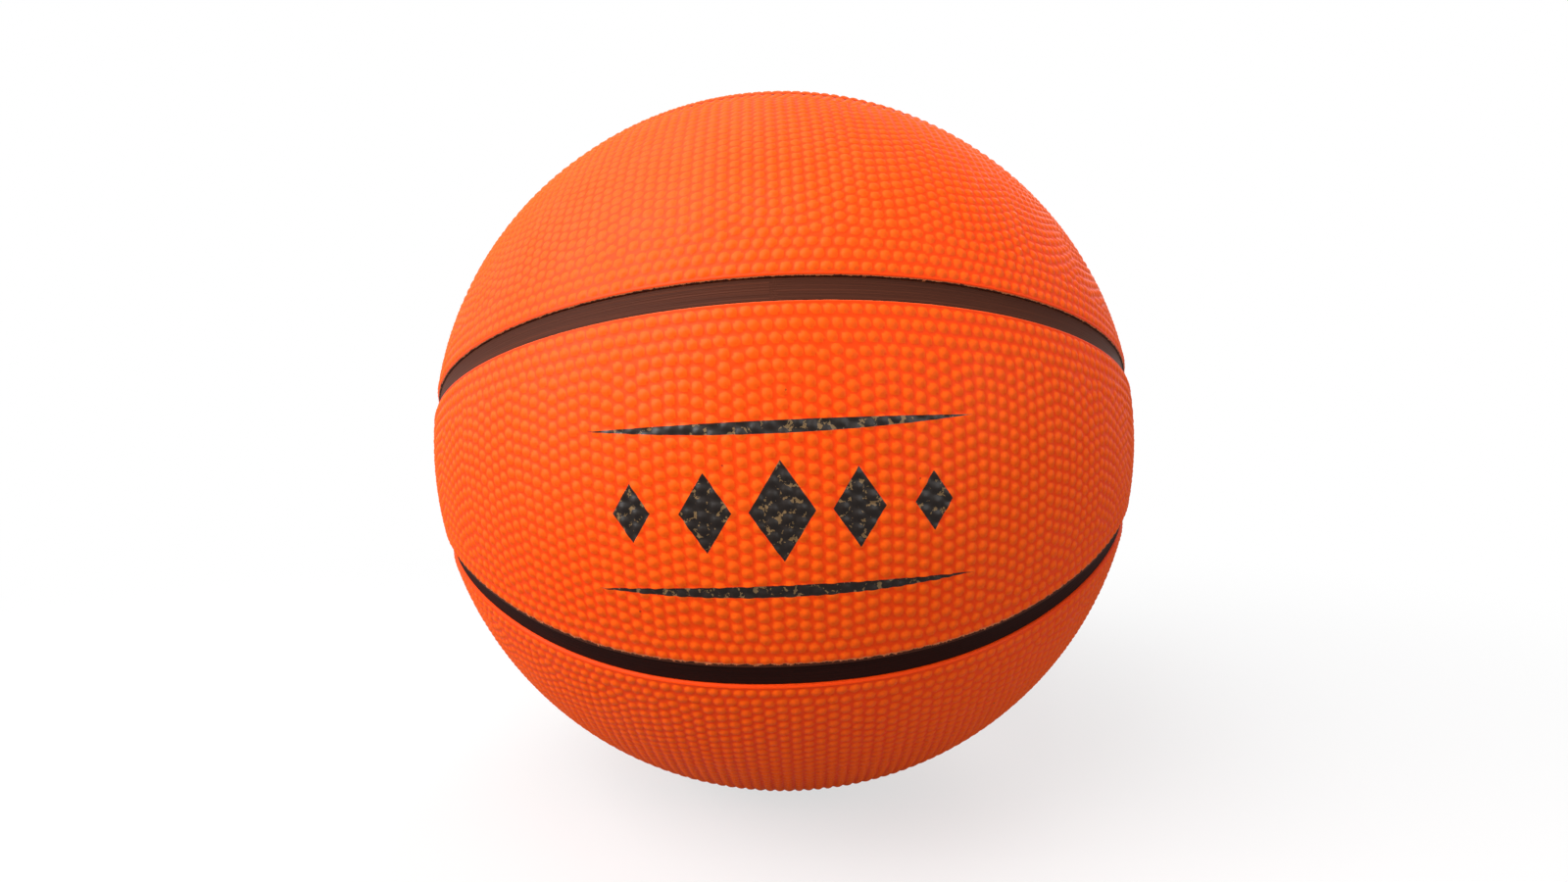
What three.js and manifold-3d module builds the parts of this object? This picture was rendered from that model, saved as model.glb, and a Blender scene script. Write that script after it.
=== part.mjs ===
// Light-up ball: a small moulded rubber basketball that holds two slide-out light units.
// Millimetres, +Z up, origin at the centre of the ball, -Y is the front.
import * as THREE from "three";
import Module from "manifold-3d";

const wasm = await Module();
wasm.setup();

const degrees = THREE.MathUtils.degToRad;

// Driving dimensions of the wall, from the outside in
const BALL_RADIUS = 90;
const COVER_THICKNESS = 1.9;
const WINDING_THICKNESS = 0.5;
const BLADDER_THICKNESS = 0.7;
const CLEARANCE = 0.3; // between pieces that touch
const FACET_GAP = 0.5; // between the cover's fine facets and the winding's coarse ones

// Seams: a straight one, one at right angles to it, and two bowed ones
const CHANNEL_WIDTH = 4.6;
const CHANNEL_DEPTH = 0.8;
const CROSSING_GAP = 0.5;
const BOW_WIDEST = degrees(41.6); // from the straight seam, at the front and back
const BOW_NARROWEST = degrees(13.1); // from the straight seam, at the sides
const BOW_FULLNESS = degrees(2.1);

// How the ball lies: its straight seam leans back and drops a little on its left
const SEAM_TILT = degrees(15.6);
const SEAM_ROLL = degrees(2.5);

// Where things sit on the ball: longitude from the front towards +X, latitude from the straight seam
const UPPER_LIGHT_PLACE = [degrees(60), degrees(38)];
const LOWER_LIGHT_PLACE = [degrees(-120), degrees(-38)];
const VALVE_PLACE = [degrees(180), degrees(21)];

// Light module and the rubber pocket and plug round it
const MODULE_RADIUS = 7.4;
const HOUSING_WALL = 1.0;
const POCKET_WALL = 1.5;
const POCKET_FLANGE_RADIUS = 15.5;
const PLUG_HEAD_RADIUS = 8.7;
const PLUG_HEAD_HEIGHT = 3.9;
const PLUG_SHANK_LENGTH = 4.5;
const PLUG_FACE_DEPTH = 0.6; // below the ball's full radius, so the head's rim lies flush
const PLUG_RIB_DEPTH = 0.6; // two ribs round the shank, each a fifth of it long
const PRY_SLOT = { length: 9, width: 1.8, depth: 1.4 };
const CAP_HEIGHT = 1.8;
const CAP_SPIGOT_HEIGHT = 1.5;
const CAP_SPIGOT_WALL = 0.9;
const COIN_SLOT = { length: 9, width: 1.4, depth: 0.8 };
const CELL_PLAY = 0.6; // round a cell in its housing
const CELL_HEIGHT = 5.4;
const CELL_COUNT = 3;
const CELL_BUTTON_RADIUS = 4.4;
const CELL_BUTTON_HEIGHT = 0.5;
const CONTACT_THICKNESS = 0.4;
const LEDGE_WIDTH = 1.4;
const LEDGE_HEIGHT = 1.0;
const BOARD_THICKNESS = 1.0;
const LED_RADIUS = 2.5;
const LED_RIM_RADIUS = 2.9;
const LED_RIM_HEIGHT = 1.0;
const LENS_SKIRT = 1.2;

// Springs: the one that shakes in the impact switch, and the one under the cap
const SWITCH_OFFSET = 2.2; // of the switch from the module's axis
const SWITCH_COIL = { radius: 1.6, wire: 0.3, turns: 5, height: 6.2 };
const SWITCH_PIN_RADIUS = 0.45;
const CAP_COIL = { inner: 1.6, play: 0.55, wire: 0.5, turns: 2.5, height: 0.7 }; // play: round it in the cap

// Valve
const VALVE_FLANGE_RADIUS = 9;
const VALVE_NECK_RADIUS = 3.2;
const VALVE_BARREL_RADIUS = 5.5;
const VALVE_DEPTH = 14;
const VALVE_FACE_DEPTH = 0.4;
const NEEDLE_HOLE_RADIUS = 1.0;
const NEEDLE_HOLE_LENGTH = 5.2;
const VALVE_CORE_RADIUS = 2.0;

// Facets
const SEAM_STEPS = 48; // round the whole ball
const PANEL_ROWS = 5;
const SHELL_SEGMENTS = 18;
const ROUND_SEGMENTS = 16;
const SMALL_SEGMENTS = 12;
const DOME_STEPS = 3;
const COIL_STEPS = 8; // a turn
const COIL_SIDES = 5;

// Radii of the layers
const coverInner = BALL_RADIUS - COVER_THICKNESS;
const windingOuter = coverInner - FACET_GAP;
const windingInner = windingOuter - WINDING_THICKNESS;
const bladderOuter = windingInner - CLEARANCE;
const bladderInner = bladderOuter - BLADDER_THICKNESS;

// Angles at the ball's centre
const channelHalf = CHANNEL_WIDTH / 2 / BALL_RADIUS;
const stripHalf = (CHANNEL_WIDTH / 2 - CLEARANCE) / BALL_RADIUS;
const crossingHalf = (CHANNEL_WIDTH / 2 - CLEARANCE + CROSSING_GAP) / BALL_RADIUS;
const seamStep = (2 * Math.PI) / SEAM_STEPS;

// Heights in a light unit, along its axis from the ball's centre
const plugTop = BALL_RADIUS - PLUG_FACE_DEPTH;
const plugSeat = plugTop - PLUG_HEAD_HEIGHT;
const plugBottom = plugSeat - PLUG_SHANK_LENGTH;
const capTop = plugBottom - CLEARANCE;
const capBottom = capTop - CAP_HEIGHT;
const housingTop = capBottom - CLEARANCE;
const cellsTop = capBottom - CAP_SPIGOT_HEIGHT - CLEARANCE;
const cellPitch = CELL_HEIGHT + CLEARANCE;
const contactTop = cellsTop - CELL_COUNT * cellPitch;
const ledgeTop = contactTop - CONTACT_THICKNESS - CLEARANCE;
const switchTop = ledgeTop;
const switchBottom = switchTop - SWITCH_COIL.height - SWITCH_COIL.wire;
const boardTop = switchBottom - CLEARANCE;
const boardBottom = boardTop - BOARD_THICKNESS;
const housingBottom = boardBottom - CLEARANCE - LEDGE_HEIGHT;
const ledTop = boardBottom - CLEARANCE;
const lensTop = housingBottom - CLEARANCE;
const lensCentre = lensTop - LENS_SKIRT;

const boreRadius = MODULE_RADIUS - HOUSING_WALL;
const cellRadius = boreRadius - CELL_PLAY;
const spigotOuter = boreRadius - CLEARANCE;
const spigotInner = spigotOuter - CAP_SPIGOT_WALL;
const capCoilOuter = spigotInner - CAP_COIL.play - CAP_COIL.wire / 2;
const ledgeRadius = boreRadius - LEDGE_WIDTH;
const ledTip = lensCentre - boreRadius + CLEARANCE; // clear of the dome round it
const pocketBore = MODULE_RADIUS + CLEARANCE;
const pocketRadius = pocketBore + POCKET_WALL;
const plugHole = PLUG_HEAD_RADIUS + CLEARANCE;
const neckRadius = plugHole + POCKET_WALL;

// Finishes
const finish = (color, roughness, metalness = 0) => ({ color, roughness, metalness });
const COVER_RUBBER = finish(0xfb5a1a, 0.5);
const SEAM_RUBBER = finish(0x2c2120, 0.45);
const WOUND_THREAD = finish(0xd8d2c2, 0.9);
const BLADDER_RUBBER = finish(0x1d1d1f, 0.6);
const BLACK_RUBBER = finish(0x1b1a1a, 0.55);
const CLEAR_RUBBER = finish(0xe9ecea, 0.3);
const WHITE_PLASTIC = finish(0xf1f1ee, 0.4);
const CLEAR_PLASTIC = finish(0xdfe8ee, 0.1);
const RED_PLASTIC = finish(0xd8332a, 0.2);
const BOARD_GREEN = finish(0x1f6b3c, 0.5);
const STEEL = finish(0xc4c7ca, 0.3, 1);
const BRASS = finish(0xc9a04e, 0.35, 1);

// A closed geometry from points and triangles: near-equal points become one and faces point out
function closedGeometry(points, triangles) {
  const places = new Map();
  const merged = [];
  const indexOf = points.map((point) => {
    const key = point.toArray().map((value) => Math.round(value * 1e4)).join();
    if (!places.has(key)) {
      places.set(key, merged.length);
      merged.push(point);
    }
    return places.get(key);
  });
  const kept = triangles
    .map((triangle) => triangle.map((corner) => indexOf[corner]))
    .filter(([a, b, c]) => a !== b && b !== c && c !== a);
  const volume = kept.reduce((sum, [a, b, c]) => {
    const normal = new THREE.Vector3().crossVectors(merged[b], merged[c]);
    return sum + merged[a].dot(normal);
  }, 0);
  const outward = volume > 0 ? kept : kept.map(([a, b, c]) => [a, c, b]);
  const geometry = new THREE.BufferGeometry();
  geometry.setAttribute("position", new THREE.Float32BufferAttribute(merged.flatMap((p) => p.toArray()), 3));
  geometry.setIndex(outward.flat());
  return geometry;
}

// The same for a geometry of the library, whose seams and poles repeat their points
function closed(geometry) {
  const position = geometry.getAttribute("position");
  const pointAt = (_, i) => new THREE.Vector3().fromBufferAttribute(position, i);
  const points = Array.from({ length: position.count }, pointAt);
  const corners = Array.from(geometry.getIndex().array);
  const triangles = [];
  for (let i = 0; i < corners.length; i += 3) triangles.push(corners.slice(i, i + 3));
  return closedGeometry(points, triangles);
}

// Two triangles for each cell of a grid of nodes with the given numbers of rows and columns
function gridTriangles(rows, columns) {
  const triangles = [];
  for (let row = 0; row < rows - 1; row++) {
    for (let column = 0; column < columns - 1; column++) {
      const a = row * columns + column;
      const c = a + columns;
      triangles.push([a, a + 1, c + 1], [a, c + 1, c]);
    }
  }
  return triangles;
}

// Solids for cutting, and back
function toSolid(geometry) {
  const vertProperties = new Float32Array(geometry.getAttribute("position").array);
  const triVerts = new Uint32Array(geometry.getIndex().array);
  return new wasm.Manifold(new wasm.Mesh({ numProp: 3, vertProperties, triVerts }));
}

function fromSolid(solid) {
  const { vertProperties, triVerts } = solid.getMesh();
  const geometry = new THREE.BufferGeometry();
  geometry.setAttribute("position", new THREE.BufferAttribute(vertProperties, 3));
  geometry.setIndex(new THREE.BufferAttribute(triVerts, 1));
  return geometry;
}

function cut(geometry, ...cutters) {
  return fromSolid(cutters.reduce((solid, cutter) => solid.subtract(toSolid(cutter)), toSolid(geometry)));
}

// The unit direction of a place on the ball
function direction(longitude, latitude) {
  return new THREE.Vector3(
    Math.cos(latitude) * Math.sin(longitude),
    -Math.cos(latitude) * Math.cos(longitude),
    Math.sin(latitude),
  );
}

// A turned piece: a profile of [radius, height] pairs swept round +Z
function turned(profile, segments = ROUND_SEGMENTS) {
  const outline = profile.map(([radius, height]) => new THREE.Vector2(radius, height));
  return closed(new THREE.LatheGeometry(outline, segments).rotateX(Math.PI / 2));
}

function disc(radius, bottom, top, segments = ROUND_SEGMENTS) {
  return turned([[0, bottom], [radius, bottom], [radius, top], [0, top]], segments);
}

// Points of a circle's arc for a profile: centre on the axis, angles measured from +Z
function arc(radius, centre, from, to, steps) {
  return Array.from({ length: steps + 1 }, (_, i) => {
    const angle = from + ((to - from) * i) / steps;
    return [Math.max(0, radius * Math.sin(angle)), centre + radius * Math.cos(angle)];
  });
}

// A slot's cutter, sunk into a flat face at the given height
function slotCutter({ length, width, depth }, height) {
  return closed(new THREE.BoxGeometry(length, width, 2 * depth).translate(0, 0, height));
}

// A wire wound round +Z in one unbroken tube with flat ends
function coil(radiusAt, wire, turns, bottom, height) {
  const steps = Math.round(turns * COIL_STEPS);
  const sides = COIL_SIDES;
  const centre = (share) => {
    const angle = share * turns * 2 * Math.PI;
    const radius = radiusAt(share);
    return new THREE.Vector3(radius * Math.cos(angle), radius * Math.sin(angle), bottom + height * share);
  };
  const points = [];
  const triangles = [];
  for (let step = 0; step <= steps; step++) {
    const share = step / steps;
    const here = centre(share);
    const tangent = centre(share + 1e-4).sub(centre(share - 1e-4)).normalize();
    const across = new THREE.Vector3(here.x, here.y, 0).normalize();
    const up = new THREE.Vector3().crossVectors(tangent, across).normalize();
    const level = new THREE.Vector3().crossVectors(up, tangent);
    for (let side = 0; side < sides; side++) {
      const turn = (side / sides) * 2 * Math.PI;
      const offset = level.clone().multiplyScalar(Math.cos(turn)).addScaledVector(up, Math.sin(turn));
      points.push(here.clone().addScaledVector(offset, wire / 2));
    }
  }
  for (let step = 0; step < steps; step++) {
    for (let side = 0; side < sides; side++) {
      const a = step * sides + side;
      const b = step * sides + ((side + 1) % sides);
      triangles.push([a, b, b + sides], [a, b + sides, a + sides]);
    }
  }
  const last = steps * sides;
  for (let side = 1; side < sides - 1; side++) {
    triangles.push([0, side + 1, side], [last, last + side, last + side + 1]);
  }
  return { geometry: closedGeometry(points, triangles), gap: leastGap(centre, steps) - wire };
}

// The least distance between a coil's centre line and itself, a half turn or more away
function leastGap(centre, steps) {
  const halfTurn = COIL_STEPS / 2;
  let least = Infinity;
  for (let i = 0; i <= steps; i++) {
    for (let j = i + halfTurn; j <= steps; j++) {
      least = Math.min(least, centre(i / steps).distanceTo(centre(j / steps)));
    }
  }
  return least;
}

// A plate of the cover between two radii: nodes is a grid of unit directions
function curvedPlate(nodes, outer, inner) {
  const rows = nodes.length;
  const columns = nodes[0].length;
  const flat = nodes.flat();
  const points = [outer, inner].flatMap((radius) => flat.map((node) => node.clone().multiplyScalar(radius)));
  const face = gridTriangles(rows, columns);
  const back = face.map(([a, b, c]) => [a, c, b].map((corner) => corner + flat.length));
  const border = [];
  for (let column = 0; column < columns; column++) border.push(column);
  for (let row = 1; row < rows; row++) border.push(row * columns + columns - 1);
  for (let column = columns - 2; column >= 0; column--) border.push((rows - 1) * columns + column);
  for (let row = rows - 2; row > 0; row--) border.push(row * columns);
  const wall = border.flatMap((corner, i) => {
    const next = border[(i + 1) % border.length];
    return [[corner, corner + flat.length, next + flat.length], [corner, next + flat.length, next]];
  });
  return closedGeometry(points, [...face, ...back, ...wall]);
}

// The bowed seam's latitude at a longitude: widest at the front and back, narrowest at the sides
function bowLatitude(longitude) {
  const middle = (BOW_WIDEST + BOW_NARROWEST) / 2;
  const swing = (BOW_WIDEST - BOW_NARROWEST) / 2;
  return middle + swing * Math.cos(2 * longitude) + BOW_FULLNESS * (1 - Math.cos(4 * longitude));
}

// A point beside the upper bowed seam, at an angle from its middle line: positive is towards the pole
function besideBow(longitude, angle) {
  const at = (value) => direction(value, bowLatitude(value));
  const here = at(longitude);
  const along = at(longitude + 1e-4).sub(at(longitude - 1e-4)).normalize();
  const side = new THREE.Vector3().crossVectors(here, along).normalize();
  return here.multiplyScalar(Math.cos(angle)).addScaledVector(side, Math.sin(angle));
}

// Longitudes of a panel's columns: the seam's own steps, and the two ends beside the crossing seam
function columnLongitudes(end) {
  const steps = Math.ceil(end / seamStep) - 1;
  const longitudes = [-end];
  for (let step = -steps; step <= steps; step++) longitudes.push(step * seamStep);
  longitudes.push(end);
  return longitudes;
}

// Rows of directions between two edges, each a list of directions
function rowsBetween(first, last) {
  return Array.from({ length: PANEL_ROWS + 1 }, (_, row) =>
    first.map((from, i) => from.clone().lerp(last[i], row / PANEL_ROWS).normalize()),
  );
}

// The longitude at which a latitude meets the channel of the seam at right angles
const endLongitude = (latitude) => Math.acos(Math.sin(channelHalf) / Math.cos(latitude));

// The long lens-shaped panel at the front, above the straight seam
function lensPanelNodes() {
  const end = endLongitude(BOW_NARROWEST - channelHalf);
  const longitudes = columnLongitudes(end);
  const straightEnd = endLongitude(channelHalf);
  const straight = longitudes.map((longitude) => direction((longitude / end) * straightEnd, channelHalf));
  const bowed = longitudes.map((longitude) => besideBow(longitude, -channelHalf));
  return rowsBetween(straight, bowed);
}

// The rounded cap panel at the front of the top: half of the oval inside the bowed seam
function capPanelNodes() {
  const cornerLatitude = BOW_NARROWEST + channelHalf;
  const end = endLongitude(cornerLatitude);
  const longitudes = columnLongitudes(end);
  const bowed = longitudes.map((longitude) => besideBow(longitude, channelHalf));
  const swing = Math.acos(Math.sin(cornerLatitude) / Math.cos(channelHalf));
  const upright = longitudes.map((longitude) => {
    const angle = (longitude / end) * swing;
    const spread = Math.cos(channelHalf);
    return new THREE.Vector3(Math.sin(angle) * spread, -Math.sin(channelHalf), Math.cos(angle) * spread);
  });
  bowed[0].copy(upright[0]);
  bowed.at(-1).copy(upright.at(-1));
  return rowsBetween(bowed, upright);
}

// The same nodes mirrored to the back, to the bottom, or both
function mirrored(nodes, front, top) {
  const flip = new THREE.Vector3(1, front ? 1 : -1, top ? 1 : -1);
  return nodes.map((row) => row.map((node) => node.clone().multiply(flip)));
}

// A strip of seam rubber in its channel, along middle and sideways directions: a loop, or with two ends
function seamStrip(middles, sides, loop) {
  const outer = BALL_RADIUS - CHANNEL_DEPTH;
  const corners = [[-1, outer], [1, outer], [1, coverInner], [-1, coverInner]];
  const points = middles.flatMap((middle, i) =>
    corners.map(([side, radius]) =>
      middle.clone().multiplyScalar(Math.cos(stripHalf))
        .addScaledVector(sides[i], side * Math.sin(stripHalf)).multiplyScalar(radius),
    ),
  );
  const triangles = [];
  const count = middles.length;
  const sidesRound = corners.length;
  for (let i = 0; i < (loop ? count : count - 1); i++) {
    for (let k = 0; k < sidesRound; k++) {
      const [a, b] = [sidesRound * i + k, sidesRound * i + ((k + 1) % sidesRound)];
      const [c, d] = [a, b].map((corner) => (corner + sidesRound) % (sidesRound * count));
      triangles.push([a, b, d], [a, d, c]);
    }
  }
  const last = sidesRound * (count - 1);
  if (!loop) triangles.push([0, 2, 1], [0, 3, 2], [last, last + 1, last + 2], [last, last + 2, last + 3]);
  return closedGeometry(points, triangles);
}

const loopAngles = Array.from({ length: SEAM_STEPS }, (_, i) => i * seamStep);

function straightSeam() {
  const middles = loopAngles.map((angle) => direction(angle, 0));
  return seamStrip(middles, middles.map(() => new THREE.Vector3(0, 0, 1)), true);
}

function bowedSeam(top) {
  const flip = new THREE.Vector3(1, 1, top ? 1 : -1);
  const middles = loopAngles.map((angle) => besideBow(angle, 0).multiply(flip));
  const sides = loopAngles.map((angle) => besideBow(angle, Math.PI / 2).multiply(flip));
  return seamStrip(middles, sides, true);
}

// A stretch of the upright seam, in the plane of X and Z, between two angles from +Z towards +X
function uprightSeam(from, to) {
  const steps = Math.max(1, Math.ceil((to - from) / seamStep));
  const angles = Array.from({ length: steps + 1 }, (_, i) => from + ((to - from) * i) / steps);
  const middles = angles.map((angle) => new THREE.Vector3(Math.sin(angle), 0, Math.cos(angle)));
  return seamStrip(middles, middles.map(() => new THREE.Vector3(0, 1, 0)), false);
}

// A hollow shell of coarse facets with round holes at the given places
function shell(outer, inner, holes) {
  const globe = (radius) => new THREE.SphereGeometry(radius, SHELL_SEGMENTS, SHELL_SEGMENTS / 2);
  const sphere = (radius) => closed(globe(radius).rotateX(Math.PI / 2));
  const cutters = holes.map(([place, radius]) => hole(place, radius));
  return cut(sphere(outer), sphere(inner), ...cutters);
}

// Turns +Z to point at a place on the ball
function turnTo([longitude, latitude]) {
  const up = new THREE.Vector3(0, 0, 1);
  return new THREE.Quaternion().setFromUnitVectors(up, direction(longitude, latitude));
}

// A round hole's cutter through the wall at a place
function hole(place, radius) {
  return disc(radius, bladderInner - VALVE_DEPTH, BALL_RADIUS + CLEARANCE).applyQuaternion(turnTo(place));
}

// The rubber pocket: a curved flange bonded under the cover, a neck for the plug and a deep round-ended cup
function pocket() {
  const flangeEdge = (radius) => Math.asin(POCKET_FLANGE_RADIUS / radius);
  const top = arc(windingOuter, 0, Math.asin(plugHole / windingOuter), flangeEdge(windingOuter), 3);
  const under = arc(windingInner, 0, flangeEdge(windingInner), Math.asin(neckRadius / windingInner), 2);
  const ledge = plugSeat - CLEARANCE;
  return turned([
    ...arc(pocketBore, lensCentre, Math.PI, Math.PI / 2, DOME_STEPS),
    [pocketBore, ledge],
    [plugHole, ledge],
    ...top,
    ...under,
    [neckRadius, ledge - POCKET_WALL],
    [pocketRadius, ledge - 2 * POCKET_WALL],
    ...arc(pocketRadius, lensCentre, Math.PI / 2, Math.PI, DOME_STEPS),
  ]);
}

// The plug: a flat head flush with the cover, and a ribbed shank
function accessPlug() {
  const rib = PLUG_SHANK_LENGTH / 5;
  const core = MODULE_RADIUS - PLUG_RIB_DEPTH;
  const ribs = [0, 2].flatMap((step) => [
    [MODULE_RADIUS, plugBottom + step * rib],
    [MODULE_RADIUS, plugBottom + (step + 1) * rib],
    [core, plugBottom + (step + 1) * rib],
    [core, plugBottom + (step + 2) * rib],
  ]);
  const profile = [[0, plugBottom], ...ribs, [core, plugSeat]];
  profile.push([PLUG_HEAD_RADIUS, plugSeat], [PLUG_HEAD_RADIUS, plugTop], [0, plugTop]);
  return cut(turned(profile), slotCutter(PRY_SLOT, plugTop));
}

// The module's tube, with a ledge under the cells and one under the board
function moduleHousing() {
  return turned([
    [ledgeRadius, housingBottom],
    [MODULE_RADIUS, housingBottom],
    [MODULE_RADIUS, housingTop],
    [boreRadius, housingTop],
    [boreRadius, ledgeTop],
    [ledgeRadius, ledgeTop],
    [ledgeRadius, ledgeTop - LEDGE_HEIGHT],
    [boreRadius, ledgeTop - LEDGE_HEIGHT],
    [boreRadius, boardBottom - CLEARANCE],
    [ledgeRadius, boardBottom - CLEARANCE],
    [ledgeRadius, housingBottom],
  ]);
}

function moduleCap() {
  const profile = [
    [0, capBottom],
    [spigotInner, capBottom],
    [spigotInner, capBottom - CAP_SPIGOT_HEIGHT],
    [spigotOuter, capBottom - CAP_SPIGOT_HEIGHT],
    [spigotOuter, capBottom],
    [MODULE_RADIUS, capBottom],
    [MODULE_RADIUS, capTop],
    [0, capTop],
  ];
  return cut(turned(profile), slotCutter(COIN_SLOT, capTop));
}

// The clear dome: a short skirt and a round end, hollow
function lensDome() {
  return turned([
    ...arc(boreRadius, lensCentre, Math.PI, Math.PI / 2, DOME_STEPS),
    [boreRadius, lensTop],
    [MODULE_RADIUS, lensTop],
    ...arc(MODULE_RADIUS, lensCentre, Math.PI / 2, Math.PI, DOME_STEPS),
  ]);
}

function led() {
  const domeCentre = ledTip + LED_RADIUS;
  const dome = arc(LED_RADIUS, domeCentre, Math.PI, Math.PI / 2, DOME_STEPS);
  const rimBottom = ledTop - LED_RIM_HEIGHT;
  const rim = [[LED_RADIUS, rimBottom], [LED_RIM_RADIUS, rimBottom], [LED_RIM_RADIUS, ledTop], [0, ledTop]];
  return turned([...dome, ...rim], SMALL_SEGMENTS);
}

function buttonCell(index) {
  const top = cellsTop - index * cellPitch;
  const bottom = top - CELL_HEIGHT;
  const step = bottom + CELL_BUTTON_HEIGHT;
  const button = [[0, bottom], [CELL_BUTTON_RADIUS, bottom], [CELL_BUTTON_RADIUS, step]];
  return turned([...button, [cellRadius, step], [cellRadius, top], [0, top]], SMALL_SEGMENTS);
}

const switchSpring = coil(
  () => SWITCH_COIL.radius,
  SWITCH_COIL.wire,
  SWITCH_COIL.turns,
  switchBottom + SWITCH_COIL.wire / 2,
  SWITCH_COIL.height,
);
const capSpring = coil(
  (share) => CAP_COIL.inner + (capCoilOuter - CAP_COIL.inner) * share,
  CAP_COIL.wire,
  CAP_COIL.turns,
  cellsTop + CLEARANCE + CAP_COIL.wire / 2,
  CAP_COIL.height,
);
console.log(`least gap in the switch spring ${switchSpring.gap.toFixed(2)} mm`);
console.log(`least gap in the cap spring ${capSpring.gap.toFixed(2)} mm`);

// The valve: a curved flange under the cover, a neck with the needle hole, and a barrel that holds the core
const valveTop = BALL_RADIUS - VALVE_FACE_DEPTH;
const valveBottom = bladderInner - VALVE_DEPTH;
const chamberTop = valveTop - NEEDLE_HOLE_LENGTH;
const chamberRadius = VALVE_CORE_RADIUS + CLEARANCE;

function valveHousing() {
  const edge = (radius) => Math.asin(VALVE_FLANGE_RADIUS / radius);
  const top = arc(windingOuter, 0, Math.asin(VALVE_NECK_RADIUS / windingOuter), edge(windingOuter), 2);
  const under = arc(windingInner, 0, edge(windingInner), Math.asin(VALVE_BARREL_RADIUS / windingInner), 1);
  return turned([
    [NEEDLE_HOLE_RADIUS, chamberTop],
    [NEEDLE_HOLE_RADIUS, valveTop],
    [VALVE_NECK_RADIUS, valveTop],
    ...top,
    ...under,
    [VALVE_BARREL_RADIUS, valveBottom],
    [chamberRadius, valveBottom],
    [chamberRadius, chamberTop],
    [NEEDLE_HOLE_RADIUS, chamberTop],
  ]);
}

// Assembly
const ball = new THREE.Group();
ball.rotation.x = -SEAM_TILT;
const lightUpBall = new THREE.Group();
lightUpBall.rotation.y = -SEAM_ROLL;
lightUpBall.add(ball);

function addPiece(parent, name, geometry, surface) {
  const mesh = new THREE.Mesh(geometry, new THREE.MeshStandardMaterial(surface));
  mesh.name = name;
  parent.add(mesh);
  return mesh;
}

// Eight cover panels, with the plugs' and the valve's holes cut through three of them
const coverHoles = {
  cap_panel_top_front: [[UPPER_LIGHT_PLACE, plugHole]],
  cap_panel_bottom_back: [[LOWER_LIGHT_PLACE, plugHole]],
  lens_panel_top_back: [[VALVE_PLACE, VALVE_NECK_RADIUS + CLEARANCE]],
};
for (const [kind, nodes] of [["lens_panel", lensPanelNodes()], ["cap_panel", capPanelNodes()]]) {
  for (const top of [true, false]) {
    for (const front of [true, false]) {
      const name = `${kind}_${top ? "top" : "bottom"}_${front ? "front" : "back"}`;
      const plate = curvedPlate(mirrored(nodes, front, top), BALL_RADIUS, coverInner);
      const holes = (coverHoles[name] ?? []).map(([place, radius]) => hole(place, radius));
      addPiece(ball, name, holes.length ? cut(plate, ...holes) : plate, COVER_RUBBER);
    }
  }
}

// Nine seam strips
addPiece(ball, "seam_strip_straight", straightSeam(), SEAM_RUBBER);
addPiece(ball, "seam_strip_bow_top", bowedSeam(true), SEAM_RUBBER);
addPiece(ball, "seam_strip_bow_bottom", bowedSeam(false), SEAM_RUBBER);
const overPole = Math.PI / 2 - BOW_NARROWEST - crossingHalf;
const linkFrom = Math.PI / 2 - BOW_NARROWEST + crossingHalf;
const linkTo = Math.PI / 2 - crossingHalf;
for (const [name, from, to] of [
  ["over_top", -overPole, overPole],
  ["right_upper", linkFrom, linkTo],
  ["right_lower", Math.PI - linkTo, Math.PI - linkFrom],
  ["over_bottom", Math.PI - overPole, Math.PI + overPole],
  ["left_lower", Math.PI + linkFrom, Math.PI + linkTo],
  ["left_upper", -linkTo, -linkFrom],
]) {
  addPiece(ball, `seam_strip_${name}`, uprightSeam(from, to), SEAM_RUBBER);
}

// The two inner layers
const lightPlaces = [UPPER_LIGHT_PLACE, LOWER_LIGHT_PLACE];
const windingHoles = lightPlaces.map((place) => [place, POCKET_FLANGE_RADIUS + CLEARANCE]);
windingHoles.push([VALVE_PLACE, VALVE_FLANGE_RADIUS + CLEARANCE]);
const bladderHoles = lightPlaces.map((place) => [place, neckRadius + CLEARANCE]);
bladderHoles.push([VALVE_PLACE, VALVE_BARREL_RADIUS + CLEARANCE]);
addPiece(ball, "thread_winding", shell(windingOuter, windingInner, windingHoles), WOUND_THREAD);
addPiece(ball, "bladder", shell(bladderOuter, bladderInner, bladderHoles), BLADDER_RUBBER);

// The valve
const valve = new THREE.Group();
valve.quaternion.copy(turnTo(VALVE_PLACE));
ball.add(valve);
addPiece(valve, "valve_housing", valveHousing(), BLACK_RUBBER);
const valveCore = disc(VALVE_CORE_RADIUS, valveBottom, chamberTop - CLEARANCE, SMALL_SEGMENTS);
addPiece(valve, "valve_core", valveCore, CLEAR_RUBBER);

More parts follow.
